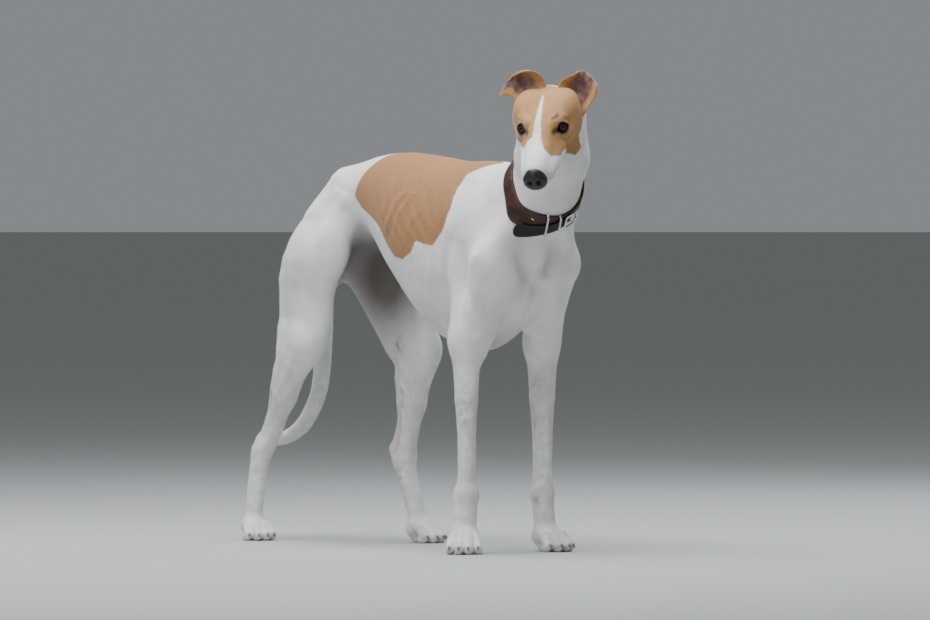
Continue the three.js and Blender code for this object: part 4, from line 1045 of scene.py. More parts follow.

# %% The ears' markings: orange outside, and in the cup pinkish grey skin darkened by painted shadow
rows = np.repeat(np.arange(EAR_STEPS + 1), EAR_SPANS + 1) / EAR_STEPS
columns = np.tile(np.arange(EAR_SPANS + 1), EAR_STEPS + 1) / EAR_SPANS
cup = smooth_step(0.1, 0.24, np.minimum(columns, 1 - columns)) * (1 - smooth_step(0.72, 0.9, rows))
for side, mesh in ears.items():
    mark(mesh)
    count = len(mesh.vertices)
    store(mesh, "tan", np.full(count, 30.0))
    store(mesh, "head", np.ones(count))
    store(mesh, "dark", np.zeros(count))
    before = to_head(-30, 92 * OUT[side], 40)
    off = np.linalg.norm(points_of(mesh).reshape(2, -1, 3) - before, axis=2)
    cup_is_first = (off[0] < off[1]).mean() > 0.5
    store(mesh, "inner_ear", [cup, 0 * cup] if cup_is_first else [0 * cup, cup])
print("ears marked")

# %% [markdown]
# The ears join the skin's mesh, and the whole is moved to the frame that the CAD part is packed in. The
# offset between the two is read from an eye, which is a ball in both.

# %% Put the skin in the row frame
eye_low, eye_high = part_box("eye_left")
ORIGIN = np.array((eye_low + eye_high) / 2) / MM - to_head(0, EYE_SPREAD, 0)


def in_scene(name, data):
    obj = bpy.data.objects.new(name, data)
    bpy.context.scene.collection.objects.link(obj)
    return obj


def placed(mesh):
    """A mesh in millimetres of the animal's frame, as an object in metres of the row frame."""
    put_points(mesh, (points_of(mesh) + ORIGIN) * MM)
    obj = in_scene(mesh.name, mesh)
    mesh.shade_smooth()
    return obj


def triangle_count(obj):
    return sum(len(p.vertices) - 2 for p in obj.data.polygons)


def joined(objects, name):
    with bpy.context.temp_override(active_object=objects[0], selected_objects=objects,
                                   selected_editable_objects=objects):
        bpy.ops.object.join()
    objects[0].name = objects[0].data.name = name
    return objects[0]


hide = placed(skin)
hide = joined([hide, placed(ears["right"]), placed(ears["left"])], "hide")
print("origin", np.round(ORIGIN, 2), "hide triangles", triangle_count(hide))
FLESH_NODES = ["head", "ear_right", "ear_left", "neck", "torso", "tail"]
FLESH_NODES += [f"{part}_{side}" for part in ("forearm", "forepaw", "thigh", "shank", "hock", "hindpaw")
                for side in OUT]


# %% [markdown]
# ## Materials
#
# One function turns the hex value that a colour picker gives into Blender's linear light, and one adds a
# node with its settings and links.

# %% Colour and node helpers
def colour(hex_value):
    channels = [int(hex_value[i:i + 2], 16) / 255 for i in (1, 3, 5)]
    return (*[c / 12.92 if c <= 0.04045 else ((c + 0.055) / 1.055) ** 2.4 for c in channels], 1.0)


def add(tree, kind, inputs=None, **settings):
    """A new node. inputs maps a socket's name or number to a value or to another node's socket."""
    made = tree.nodes.new(kind)
    for key, value in settings.items():
        setattr(made, key, value)
    for key, value in (inputs or {}).items():
        if isinstance(value, bpy.types.NodeSocket):
            tree.links.new(value, made.inputs[key])
        else:
            made.inputs[key].default_value = value
    return made


def mix(tree, share, a, b):
    """A blend of two colours, each a hex value or a socket."""
    a, b = (colour(c) if isinstance(c, str) else c for c in (a, b))
    return add(tree, "ShaderNodeMix", {0: share, 6: a, 7: b}, data_type="RGBA").outputs[2]


def span(tree, value, low, high):
    """0 below low, 1 above high, and a smooth step between them."""
    return add(tree, "ShaderNodeMapRange", {"Value": value, "From Min": low, "From Max": high},
               interpolation_type="SMOOTHSTEP").outputs[0]


def calc(tree, operation, a, b=0.0):
    return add(tree, "ShaderNodeMath", {0: a, 1: b}, operation=operation).outputs[0]


def noise(tree, per_metre, detail=3.0, roughness=0.55, vector=None):
    vector = vector or add(tree, "ShaderNodeTexCoord").outputs["Object"]
    return add(tree, "ShaderNodeTexNoise", {"Vector": vector, "Scale": per_metre, "Detail": detail,
                                            "Roughness": roughness}).outputs["Fac"]


def material(name, **constants):
    """A material with inputs of its shader set by name, and its tree and shader."""
    made = bpy.data.materials.new(name)
    made.use_nodes = True
    shader = made.node_tree.nodes["Principled BSDF"]
    for socket, value in constants.items():
        shader.inputs[socket.replace("_", " ")].default_value = value
    return made, made.node_tree, shader


def bump(tree, shader, height, strength, distance):
    made = add(tree, "ShaderNodeBump", {"Height": height, "Strength": strength, "Distance": distance})
    tree.links.new(made.outputs["Normal"], shader.inputs["Normal"])


print("tan of the body in linear light:", [round(c, 3) for c in colour("#B98E66")[:3]])


# %% [markdown]
# ## The coat
#
# Short dog hair is keratin, IOR 1.55, matte across the lie and with a faint silk along it. White hair over
# pink skin reads as a cool grey-white, cleaner on the neck and chest and ticked with grey on the legs.

# %% The coat's material
def coat_material(name, hair_bump):
    made, tree, shader = material(name, Roughness=0.72, IOR=1.55, Specular_IOR_Level=0.3, Sheen_Weight=0.15,
                                  Sheen_Roughness=0.5)

    def read(attribute):
        return add(tree, "ShaderNodeAttribute", attribute_name=attribute).outputs["Fac"]

    ragged = calc(tree, "MULTIPLY", calc(tree, "SUBTRACT", noise(tree, 260, 4), 0.5), 9.0)
    tan_share = span(tree, calc(tree, "ADD", read("tan"), ragged), -1.2, 1.2)
    cloud = noise(tree, 14, 3)
    streak = noise(tree, 420, 4, 0.6)
    white = mix(tree, span(tree, cloud, 0.35, 0.7), "#F3F2F0", "#E4E2DF")
    white = mix(tree, calc(tree, "MULTIPLY", span(tree, streak, 0.4, 0.75), 0.35), white, "#C9C3BC")
    ticks = calc(tree, "MULTIPLY", span(tree, noise(tree, 60, 4, 0.65), 0.3, 0.6), read("mottle"))
    white = mix(tree, ticks, white, "#8A8284")
    tan_hair = mix(tree, read("head"), "#AE8052", "#BA8B56")
    tan_dark = mix(tree, read("head"), "#8E6540", "#9A6E44")
    tan_hair = mix(tree, calc(tree, "MULTIPLY", span(tree, streak, 0.35, 0.75), 0.6), tan_hair, tan_dark)
    coat = mix(tree, tan_share, white, tan_hair)
    coat = mix(tree, calc(tree, "MULTIPLY", read("bare"), 0.6), coat, "#B08F88")
    # painted shade, over darker bare skin, between the thighs and under the chest
    coat = mix(tree, calc(tree, "MULTIPLY", read("groin"), 0.9), coat, "#4E443F")
    # the cup: pinkish grey skin, darkened to brown as a painted shadow under the ear's fold
    cup = mix(tree, span(tree, noise(tree, 90, 4), 0.35, 0.65), "#86685E", "#634840")
    coat = mix(tree, read("inner_ear"), coat, cup)
    coat = mix(tree, read("dark"), coat, "#1D1816")
    tree.links.new(coat, shader.inputs["Base Color"])
    if hair_bump:
        bump(tree, shader, noise(tree, 700, 4, 0.7), 0.35, 0.0006)
    return made


skin_coat = coat_material("short_coat_over_skin", True)
hair_coat = coat_material("short_hair", False)
hide.data.materials.clear()
hide.data.materials.append(skin_coat)
for polygon in hide.data.polygons:
    polygon.material_index = 0
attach(hide, "root")
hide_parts(*FLESH_NODES)
print("coat nodes:", len(skin_coat.node_tree.nodes))

# %% [markdown]
# ## Eyes
#
# A greyhound's eye is a dark, wet ball. The iris is almost as dark as the pupil, so what sells it is the
# sharp reflection of a clear cornea, IOR 1.38, over a deep brown ring.


# %% Eyeballs
PUPIL_EDGE, IRIS_EDGE = (0.0030, 0.0036), (0.0052, 0.0068)  # metres from the pupil's middle
CORNEA_FROM, CORNEA_RISE = 0.86, 0.035  # as shares of the eyeball's radius


def eye_material(side):
    made, tree, shader = material(f"wet_eye_{side}", Roughness=0.05, IOR=1.38, Specular_IOR_Level=0.4,
                                  Coat_Weight=0.4, Coat_Roughness=0.02)
    _, _, ahead = eye_axes(OUT[side])
    centre = (to_head(0, EYE_SPREAD * OUT[side], 0) + ORIGIN) * MM
    place = add(tree, "ShaderNodeTexCoord").outputs["Object"]
    pupil_at = Vector(centre + ahead * EYE_RADIUS * MM)
    away = add(tree, "ShaderNodeVectorMath", {0: place, 1: pupil_at}, operation="DISTANCE").outputs["Value"]
    ring = mix(tree, span(tree, away, *IRIS_EDGE), "#3A2113", "#1A0F0B")
    flecks = calc(tree, "MULTIPLY", span(tree, noise(tree, 900, 3), 0.4, 0.7), 0.5)
    fleck = mix(tree, flecks, ring, "#20120C")
    iris = mix(tree, span(tree, away, *PUPIL_EDGE), "#060404", fleck)
    tree.links.new(iris, shader.inputs["Base Color"])
    return made


for side, out in OUT.items():
    _, _, ahead = eye_axes(out)
    ball_mesh = bmesh.new()
    bmesh.ops.create_icosphere(ball_mesh, subdivisions=5, radius=EYE_RADIUS)
    mesh = bpy.data.meshes.new(f"eyeball_{side}")
    ball_mesh.to_mesh(mesh)
    ball_mesh.free()
    points = points_of(mesh)
    cornea = np.maximum(0, (points @ ahead) / EYE_RADIUS - CORNEA_FROM) / (1 - CORNEA_FROM)
    points *= (1 + CORNEA_RISE * smooth_step(0, 1, cornea))[:, None]
    put_points(mesh, points + to_head(0, EYE_SPREAD * out, 0))
    eyeball = placed(mesh)
    eyeball.data.materials.append(eye_material(side))
    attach(eyeball, "root")
    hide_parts(f"eye_{side}")
print("eyes", 2 * EYE_RADIUS, "mm across")

# %% [markdown]
# ## Nose
#
# The nose leather is bare black skin, pebbled and a little moist. Two comma shaped nostrils open forward
# and run out to slits at the sides, and a groove parts it down the middle.

# %% The nose
NOSE_CELL = 1.25
NOSE_LOW, NOSE_HIGH = vec(86, -26, -54), vec(142, 26, 4)


def nose_field(p):
    return blended(nose_forms(), p)


values = sampled(nose_field, NOSE_LOW, NOSE_HIGH, NOSE_CELL, levels=1)
points, quads = surface_net(values, NOSE_LOW, NOSE_CELL)
nose_mesh = mesh_of("nose_leather", settled(points, nose_field, most=1.0), quads)
m = MUZZLE_LENGTH
nose_lines = [([(m + 20, 0, -22), (m + 18, 0, -36), (m + 12, 0, -45)], 1.5, 1.3)]
for out in (1, -1):
    nose_lines += [
        ([(m + 18, 7.5 * out, -25.5), (m + 17, 9.5 * out, -27)], 6.5, 3.2),
        ([(m + 15.5, 11.5 * out, -29), (m + 9, 18.5 * out, -31), (m + 2, 20.5 * out, -29)], 3.0, 1.7),
        ([(m + 16, 10 * out, -20), (m + 11, 16 * out, -22)], -1.0, 3.5),
    ]
press(nose_mesh, nose_lines)
points = points_of(nose_mesh)
# where the nostrils and their slits are, for a painted shade in their hollows
hollow = np.zeros(len(points))
for line, depth, width in nose_lines:
    if depth > 2:  # the nostrils and their slits
        hollow = np.maximum(hollow, np.exp(-((from_line(points, line) / (width * 1.5)) ** 2)))
store(nose_mesh, "hollow", hollow)
put_points(nose_mesh, points @ HEAD_AXES.T + vec(*HEAD_AT))
nose = placed(nose_mesh)
leather, tree, shader = material("moist_nose_leather", Roughness=0.42, IOR=1.45, Specular_IOR_Level=0.5,
                                 Coat_Weight=0.25, Coat_Roughness=0.3)
pebbles = add(tree, "ShaderNodeTexVoronoi", {"Vector": add(tree, "ShaderNodeTexCoord").outputs["Object"],
                                             "Scale": 620.0}).outputs["Distance"]
nostril_shade_share = add(tree, "ShaderNodeAttribute", attribute_name="hollow").outputs["Fac"]
tone = mix(tree, span(tree, pebbles, 0.0, 0.7), "#2C2B33", "#17171B")
# painted shade: the nostrils and slits are darkened to near black
tree.links.new(mix(tree, nostril_shade_share, tone, "#060607"), shader.inputs["Base Color"])
bump(tree, shader, pebbles, 0.3, 0.0005)
nose.data.materials.append(leather)
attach(nose, "root")
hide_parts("nose")
print("nose triangles:", 2 * len(nose.data.polygons))


# %% [markdown]
# ## Tubes
#
# Claws, whiskers and the collar's wire are all tapered tubes on a smooth line, so they share one helper.

# %% A tube along a line
def tube_faces(rows, sides, closed):
    """Quads between rows of corners, and a cap on each end of a tube that isn't closed to a ring."""
    number = np.arange(rows * sides).reshape(rows, sides)
    beside = np.roll(number, -1, 1)
    quads = np.stack([number, beside, np.roll(beside, -1, 0), np.roll(number, -1, 0)], -1)
    if closed:
        return quads.reshape(-1, 4)
    return [*quads[:-1].reshape(-1, 4), number[0, ::-1], number[-1]]


def tube_mesh(name, line, radii, sides=10, flat=1.0, flat_way=None, closed=False):
    """A tube whose cross section may be spread by flat along flat_way."""
    line = np.array(line, float)
    ahead = np.roll(line, -1, 0) - np.roll(line, 1, 0) if closed else np.gradient(line, axis=0)
    ahead /= np.linalg.norm(ahead, axis=1, keepdims=True)
    normal = np.cross(ahead[0], vec(0, 0, 1) if abs(ahead[0][2]) < 0.8 else vec(0, 1, 0))
    rows = []
    turn = 2 * np.pi * np.arange(sides) / sides
    for i in range(len(line)):
        if flat_way is not None:
            normal = flat_way
        normal = unit(normal - ahead[i] * (normal @ ahead[i]))
        other = np.cross(ahead[i], normal)
        ring = np.outer(np.cos(turn) * flat, normal) + np.outer(np.sin(turn), other)
        rows.append(line[i] + radii[i] * ring)
    return outward(mesh_of(name, np.concatenate(rows), tube_faces(len(line), sides, closed)))


# %% Claws, four to a paw
CLAW_RADII = [3.3, 2.6, 0.5]  # at its root, middle and point
CLAW_STEPS = 9
claws = []
for axes, at, scale in PAWS.values():
    for y, reach, splay in TOES:
        root = vec(reach - 4, y + splay, TOE_TIP_HEIGHT + 3.5) * scale
        bend = vec(reach + 8, y + splay * 1.2, TOE_TIP_HEIGHT + 0.8) * scale
        point = vec(reach + 12.6, y + splay * 1.35, TOE_TIP_HEIGHT - 5.4) * scale
        line = spline([axes @ p + at for p in (root, bend, point)], CLAW_STEPS)
        radii = np.interp(np.linspace(0, 1, CLAW_STEPS), [0, 0.5, 1], CLAW_RADII)
        claws.append(placed(tube_mesh("claw", line, radii)))
claws = joined(claws, "claws")
horn, tree, shader = material("claw_horn", Roughness=0.35, IOR=1.55)
horn_tone = mix(tree, span(tree, noise(tree, 300, 3), 0.35, 0.7), "#8C7C6C", "#4A4038")
tree.links.new(horn_tone, shader.inputs["Base Color"])
claws.data.materials.append(horn)
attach(claws, "root")
print("claws:", 4 * len(PAWS))

# %% Whiskers, thin stiff hairs from the lips and brows
WHISKERS = [  # root x, y, z and length, in the head's frame
    (98, 21, -30, 26), (92, 25, -34, 30), (84, 28, -30, 32), (88, 24, -40, 26), (76, 31, -36, 34),
    (70, 32, -42, 28), (12, 22, 18, 20), (6, 27, 20, 22), (20, 45, -52, 18),
]
whiskers = []
chance = np.random.default_rng(5)
for out in (1, -1):
    for x, y, z, length in WHISKERS:
        root = onto_flesh(to_head(x, y * out, z), to_head(x - 6, 0, z))
        way = HEAD_AXES @ unit(vec(-0.25, 0.9 * out, -0.35 if z < 0 else 0.6) + chance.normal(0, 0.12, 3))
        droop = vec(0, 0, -0.12 * length)
        line = spline([root - way * 1.5, root + way * length * 0.5, root + way * length + droop], 8)
        whiskers.append(placed(tube_mesh("whisker", line, np.linspace(0.28, 0.08, 8), 5)))
whiskers = joined(whiskers, "whiskers")
bristle, tree, shader = material("whisker_hair", Roughness=0.45, IOR=1.55)
tree.links.new(mix(tree, noise(tree, 200, 2), "#D9D4CC", "#8A8178"), shader.inputs["Base Color"])
whiskers.data.materials.append(bristle)
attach(whiskers, "root")
print("whiskers:", 2 * len(WHISKERS))

# %% [markdown]
# ## Collar
#
# The collar is one strap of dark brown bridle leather. It lies round the neck, passes its buckle, and its
# free end goes on through two steel keepers. A place on it is an angle round the neck from the throat, a
# shift across the strap and a height over the hair.


# %% Places on the strap
RING_CENTRE = vec(380, 0, 648)
RING_NORMAL = unit(vec(0.78, -0.36, 0.51))
RING_SIDE = unit(np.cross(vec(0, 0, 1), RING_NORMAL))
RING_DOWN = -np.cross(RING_NORMAL, RING_SIDE)
BUCKLE_ANGLE = 0.56
KEEPER_ANGLES = (0.25, -0.07)
END_ANGLE = -0.73
SLIP = -21  # how much lower than the strap its free end hangs


def neck_radius(angles, shift):
    """How far the neck reaches from the ring's centre, along each angle."""
    way = np.outer(np.cos(angles), RING_DOWN) + np.outer(np.sin(angles), RING_SIDE)
    start = RING_CENTRE + RING_NORMAL * shift
    near, far = np.zeros(len(angles)), np.full(len(angles), 30.0)
    for _ in range(60):  # out in steps of 3 mm until the point is outside
        inside = flesh(start + way * far[:, None]) <= 0
        near, far = np.where(inside, far, near), np.where(inside, far + 3, far)
    for _ in range(10):  # then halve the step that holds the surface
        middle = (near + far) / 2
        inside = flesh(start + way * middle[:, None]) <= 0
        near, far = np.where(inside, middle, near), np.where(inside, far, middle)
    return way, (near + far) / 2


HALF = STRAP_WIDTH / 2
END_HALF = 12  # half the width of the free end
EDGE_ROUNDING = 1.2


def on_strap(angles, shift, height):
    """Points on a strap that stays straight across its width and clears the neck's bulge."""
    angles = np.atleast_1d(np.asarray(angles, float))
    (way, middle), (_, low), (_, high) = (neck_radius(angles, s) for s in (0, -HALF, HALF))
    shift, height = (np.broadcast_to(np.asarray(a, float), angles.shape) for a in (shift, height))
    t = 2 * shift / STRAP_WIDTH
    straight = low + (high - low) * (t + 1) / 2
    spare = np.maximum(0, middle - (low + high) / 2)
    radius = straight + spare + STRAP_CLEARANCE + height
    return RING_CENTRE + np.outer(shift, RING_NORMAL) + way * radius[:, None]


def rounded_section(low, high, base, top, count=7):
    """Points round a strap's cross section, as shift and height pairs, with soft top edges."""
    across = np.linspace(low + EDGE_ROUNDING, high - EDGE_ROUNDING, count)
    return [(low, base), (low, top - EDGE_ROUNDING), (low + 0.35, top - 0.4), *((s, top) for s in across),
            (high - 0.35, top - 0.4), (high, top - EDGE_ROUNDING), (high, base)]


def strap_mesh(name, angles, section, closed):
    """A strap with section(t) as its cross section at each share t of the way along its angles."""
    sections = np.array([section(t) for t in np.linspace(0, 1, len(angles))])
    rows = np.stack([on_strap(angles, shift, height) for shift, height in sections.transpose(1, 2, 0)], 1)
    return outward(mesh_of(name, rows.reshape(-1, 3), tube_faces(*sections.shape[:2], closed)))


def slip_at(t):
    """How far the free end has slipped across the strap, t of the way from the buckle to its tip."""
    return SLIP * np.sin(2.3 * t)


def share_of_end(angle):
    return (BUCKLE_ANGLE - angle) / (BUCKLE_ANGLE - END_ANGLE)


END_TOP = 2 * STRAP_THICKNESS + GAP
turn_angles = np.linspace(0, 2 * np.pi, 181)[:-1]


def strap_section(t):
    return rounded_section(-HALF, HALF, 0, STRAP_THICKNESS)


def end_section(t):
    """The free end's section, which narrows to a round tip over the last tenth."""
    half = END_HALF * math.sqrt(max(0.02, 1 - max(0, (t - 0.9) / 0.1) ** 2))
    slip = slip_at(t)
    return rounded_section(slip - half, slip + half, STRAP_THICKNESS + GAP, END_TOP)


collar = placed(strap_mesh("collar_strap", turn_angles, strap_section, True))
end_angles = np.linspace(BUCKLE_ANGLE, END_ANGLE, 110)
strap_end = placed(strap_mesh("strap_free_end", end_angles, end_section, False))
print("collar:", round(float(neck_radius(turn_angles, 0)[1].mean() * 2 * math.pi)), "mm round")


# %% Bridle leather, dyed and waxed, with a fine pebble and a cloudy tone
def bridle_leather(name, light, dark):
    made, tree, shader = material(name, Roughness=0.5, IOR=1.5, Specular_IOR_Level=0.3, Coat_Weight=0.04,
                                  Coat_Roughness=0.35)
    grain = noise(tree, 900, 4, 0.6)
    cloud = noise(tree, 60, 4, 0.6)
    tone = mix(tree, span(tree, cloud, 0.35, 0.7), light, dark)
    tone = mix(tree, calc(tree, "MULTIPLY", span(tree, grain, 0.45, 0.7), 0.4), tone, "#120B08")
    tree.links.new(tone, shader.inputs["Base Color"])
    bump(tree, shader, grain, 0.35, 0.0004)
    return made


collar.data.materials.append(bridle_leather("brown_bridle_leather", "#4A2D22", "#2C1A14"))
strap_end.data.materials.append(bridle_leather("dark_bridle_leather", "#22150F", "#120C0A"))
for piece, node in ((collar, "collar"), (strap_end, "strap_end")):
    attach(piece, "root")
    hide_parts(node)


# %% [markdown]
# Each strap is sewn along both edges. The stitches repeat, so Geometry Nodes put a short thread on every
# point of a row, turned along the row. The row's points are spaced by the length of a stitch.

# %% Stitches
STITCH_PITCH, STITCH_LENGTH, THREAD_RADIUS = 3.6, 2.5, 0.38


def node_group(name, inputs, output):
    """A Geometry Nodes tree with inputs of a name, kind and default, and the sockets that they give."""
    tree = bpy.data.node_groups.new(name, "GeometryNodeTree")
    for label, kind, value in inputs:
        socket = tree.interface.new_socket(label, in_out="INPUT", socket_type=f"NodeSocket{kind}")
        if value is not None:
            socket.default_value = value
    tree.interface.new_socket(output, in_out="OUTPUT", socket_type="NodeSocketGeometry")
    return tree, add(tree, "NodeGroupInput").outputs


def named(tree, name, kind="FLOAT"):
    return add(tree, "GeometryNodeInputNamedAttribute", {"Name": name}, data_type=kind).outputs["Attribute"]


def add_modifier(obj, tree, values):
    """Puts a tree on an object, with its inputs set by their names."""
    modifier = obj.modifiers.new(tree.name, "NODES")
    modifier.node_group = tree
    for item in tree.interface.items_tree:
        if item.in_out == "INPUT" and item.name in values:
            modifier[item.identifier] = values[item.name]


def plain_mesh(obj, name):
    """The evaluated object as a plain mesh object, with its modifiers gone from the original."""
    evaluated = obj.evaluated_get(bpy.context.evaluated_depsgraph_get())
    mesh = bpy.data.meshes.new_from_object(evaluated)
    obj.modifiers.clear()
    mesh.name = name
    return in_scene(name, mesh)


def stitch_tree():
    tree, given = node_group("sew_row", [
        ("Row", "Geometry", None), ("Stitch length", "Float", STITCH_LENGTH * MM),
        ("Thread radius", "Float", THREAD_RADIUS * MM), ("Thread", "Material", None)], "Stitches")
    along = named(tree, "along", "FLOAT_VECTOR")
    turned = add(tree, "FunctionNodeAlignRotationToVector", {"Vector": along}, axis="Z").outputs[0]
    thread = add(tree, "GeometryNodeMeshCylinder", {"Vertices": 6, "Radius": given["Thread radius"],
                                                    "Depth": given["Stitch length"]})
    sewn = add(tree, "GeometryNodeInstanceOnPoints",
               {"Points": given["Row"], "Instance": thread.outputs["Mesh"], "Rotation": turned})
    solid = add(tree, "GeometryNodeRealizeInstances", {"Geometry": sewn.outputs[0]})
    dressed = add(tree, "GeometryNodeSetMaterial",
                  {"Geometry": solid.outputs[0], "Material": given["Thread"]})
    add(tree, "NodeGroupOutput", {0: dressed.outputs[0]})
    return tree


def sewn_row(angles, shifts, height):
    """Stitches along a line of the strap, spaced evenly by its length."""
    line = on_strap(angles, shifts, height)
    steps = np.concatenate([[0], np.cumsum(np.linalg.norm(np.diff(line, axis=0), axis=1))])
    at = np.arange(STITCH_PITCH / 2, steps[-1], STITCH_PITCH)
    row = np.stack([np.interp(at, steps, line[:, k]) for k in range(3)], 1)
    mesh = mesh_of("stitches", row, [])
    store(mesh, "along", np.gradient(row, axis=0), "FLOAT_VECTOR")
    obj = placed(mesh)
    add_modifier(obj, SEW, {"Stitch length": STITCH_LENGTH * MM, "Thread radius": THREAD_RADIUS * MM,
                            "Thread": thread})
    made = plain_mesh(obj, "stitches")
    bpy.data.objects.remove(obj)
    return made


thread, tree, shader = material("waxed_thread", Roughness=0.6, IOR=1.5)
tree.links.new(mix(tree, noise(tree, 800, 2), "#6A5342", "#4A382C"), shader.inputs["Base Color"])
SEW = stitch_tree()
rows = [sewn_row(turn_angles, np.full(len(turn_angles), s), STRAP_THICKNESS) for s in (-10, 10)]
sewn_angles = np.linspace(BUCKLE_ANGLE - 0.2, END_ANGLE + 0.1, 90)
rows += [sewn_row(sewn_angles, slip_at(share_of_end(sewn_angles)) + edge, END_TOP) for edge in (-9, 9)]
stitches = joined(rows, "stitches")
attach(stitches, "root")
print("stitches:", len(stitches.data.polygons) // 8)


# %% Steel keepers, buckle and rivet
def steel_material():
    made, tree, shader = material("polished_steel", Metallic=1.0, Roughness=0.22)
    scuff = noise(tree, 500, 4, 0.6)
    tone = mix(tree, span(tree, scuff, 0.4, 0.75), "#D4D6D8", "#A9ABAE")
    tree.links.new(tone, shader.inputs["Base Color"])
    bump(tree, shader, scuff, 0.08, 0.0003)
    return made


steel = steel_material()
KEEPER_WIRE, KEEPER_SPREAD, WIRE_STEPS = 1.3, 1.55, 40
for number, angle in enumerate(KEEPER_ANGLES, 1):
    low, high, top = slip_at(share_of_end(angle)) - END_HALF - 3, HALF + 2.6, END_TOP + 1.6
    path = [(high, 1.2), (high, top - 2), (high - 2.5, top), (high - 8, top), (0, top), (low + 8, top),
            (low + 2.5, top), (low, top - 2), (low, STRAP_THICKNESS + 2)]
    line = spline([on_strap(angle, s, h)[0] for s, h in path], WIRE_STEPS)
    around = on_strap(angle + 0.02, 0, 0)[0] - on_strap(angle - 0.02, 0, 0)[0]
    keeper = placed(tube_mesh(f"steel_keeper_{number}", line, np.full(WIRE_STEPS, KEEPER_WIRE), 12,
                              KEEPER_SPREAD, around))
    keeper.data.materials.append(steel)
    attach(keeper, "root")
    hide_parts(f"keeper_{number}")

FRAME_LENGTH = 0.34  # as an angle round the neck
FRAME_HALF, FRAME_SHIFT, FRAME_WIRE = HALF + 4, -3, 1.9
frame_top = END_TOP + FRAME_WIRE + GAP
turn = np.linspace(0, 2 * np.pi, 73)[:-1]


def squared(c):
    """A sine or cosine that turns a circle into a square with round corners."""
    return np.sign(c) * np.abs(c) ** 0.35


corners = on_strap(BUCKLE_ANGLE + FRAME_LENGTH / 2 * squared(np.cos(turn)),
                   FRAME_SHIFT + FRAME_HALF * squared(np.sin(turn)), frame_top)
prong = spline([on_strap(BUCKLE_ANGLE + FRAME_LENGTH * k, FRAME_SHIFT, frame_top + h)[0]
                for k, h in ((-0.5, 0), (-0.1, 1.2), (0.3, 1.4), (0.5, 0.4))], 20)
wire = np.full(len(corners), FRAME_WIRE)
buckle = joined([placed(tube_mesh("buckle_frame", corners, wire, 12, closed=True)),
                 placed(tube_mesh("prong", prong, np.linspace(1.8, 1.2, 20)))], "steel_buckle")
buckle.data.materials.append(steel)
RIVET_AT = to_head(37, -39, -171)
rivet_way = RIVET_AT - RING_CENTRE
rivet_angle = math.atan2(rivet_way @ RING_SIDE, rivet_way @ RING_DOWN)
RIVET_DOME = {-0.5: 3.2, 0.5: 3.1, 0.9: 2.6, 1.1: 1.0}  # its radius at each height over the strap
rivet_line = [on_strap(rivet_angle, rivet_way @ RING_NORMAL, STRAP_THICKNESS + h)[0] for h in RIVET_DOME]
rivet = placed(tube_mesh("rivet", rivet_line, list(RIVET_DOME.values()), 20))
rivet.data.materials.append(steel)
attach(rivet, "root")
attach(buckle, "root")
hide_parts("buckle")
print("keepers and buckle made")

# %% [markdown]
# ## Hair
#
# A greyhound's coat is under a centimetre long and lies flat. The skin's material carries most of it.
# Where the form turns away from the eye, single hairs break the outline, so Geometry Nodes scatter thin
# tapered blades over the skin, laid along the stored direction of the coat. They are shortest on the face
# and feet. Each blade carries a UV map, OFBake, that is a small patch at its root's own place on an unwrap
# of the skin, so a baked texture gives it the colour of the hair's root.

# %% An unwrap of the skin by side and part
UV_SCALE = 1 / 2400  # two charts side by side hold the animal's length
CHART_WIDTH, CHART_HEIGHT, HEIGHT_SQUEEZE = 0.5, 0.33, 0.9
TAIL_BEHIND, TAIL_HALF, TAIL_TOP = -330, 24, 600


def unwrap(mesh):
    """Flat views of the skin side by side: the outer and inner half of each side, and the tail."""
    points = points_of(mesh) / MM - ORIGIN
    corner = np.empty(len(mesh.loops), int)
    mesh.loops.foreach_get("vertex_index", corner)
    middle = np.array([p.center[:] for p in mesh.polygons]) / MM - ORIGIN
    faces_left = np.array([p.normal[1] for p in mesh.polygons]) > 0
    tail = (middle[:, 0] < TAIL_BEHIND) & (np.abs(middle[:, 1]) < TAIL_HALF) & (middle[:, 2] < TAIL_TOP)
    row_of_face = np.where(tail, 2, middle[:, 1] > 0)
    sides = [len(p.vertices) for p in mesh.polygons]
    row, column = np.repeat(row_of_face, sides), np.repeat(faces_left, sides)
    uv = np.stack([(points[corner, 0] + 600) * UV_SCALE + column * CHART_WIDTH,
                   points[corner, 2] * UV_SCALE * HEIGHT_SQUEEZE + row * CHART_HEIGHT], 1)
    layer = mesh.uv_layers.new(name="OFBake")
    layer.data.foreach_set("uv", uv.astype(np.float32).ravel())


unwrap(hide.data)
HAIR_LENGTH = 7.0
COLLAR_BARE = 19  # half the width of the band under the collar that has no hair
COLLAR_REACH = 120
REGION_ENDS = [-250, -60, 190, 330]  # along the animal, from its rear
REGIONS = len(REGION_ENDS) + 1


def hair_length(points):
    """Hair length in millimetres, shorter on the head, feet and lower legs, longer at the thighs' rear."""
    x, _, z = in_head(points).T
    face = smooth_step(-110, -60, x) * smooth_step(-90, -70, z)
    foot = 1 - smooth_step(40, 260, points[:, 2])
    rear = 1 - smooth_step(-330, -240, points[:, 0])
    return HAIR_LENGTH * (1 - 0.55 * face) * (1 - 0.5 * foot) * (1 + 0.35 * rear)


def stored(mesh, name):
    values = np.empty(len(mesh.vertices), np.float32)
    mesh.attributes[name].data.foreach_get("value", values)
    return values


def hair_cover(mesh, points):
    """Where hair grows: not on dark skin, in an ear's cup, on the nose, the soles or under the collar."""
    cover = (1 - np.clip(stored(mesh, "dark") * 2, 0, 1)) * (1 - stored(mesh, "inner_ear"))
    from_ring = points - RING_CENTRE
    collar_band = (np.abs(from_ring @ RING_NORMAL - 3) < COLLAR_BARE) & (
        np.linalg.norm(from_ring, axis=1) < COLLAR_REACH)
    return cover * (nose_field(in_head(points)) > 1.5) * (points[:, 2] > 2) * ~collar_band


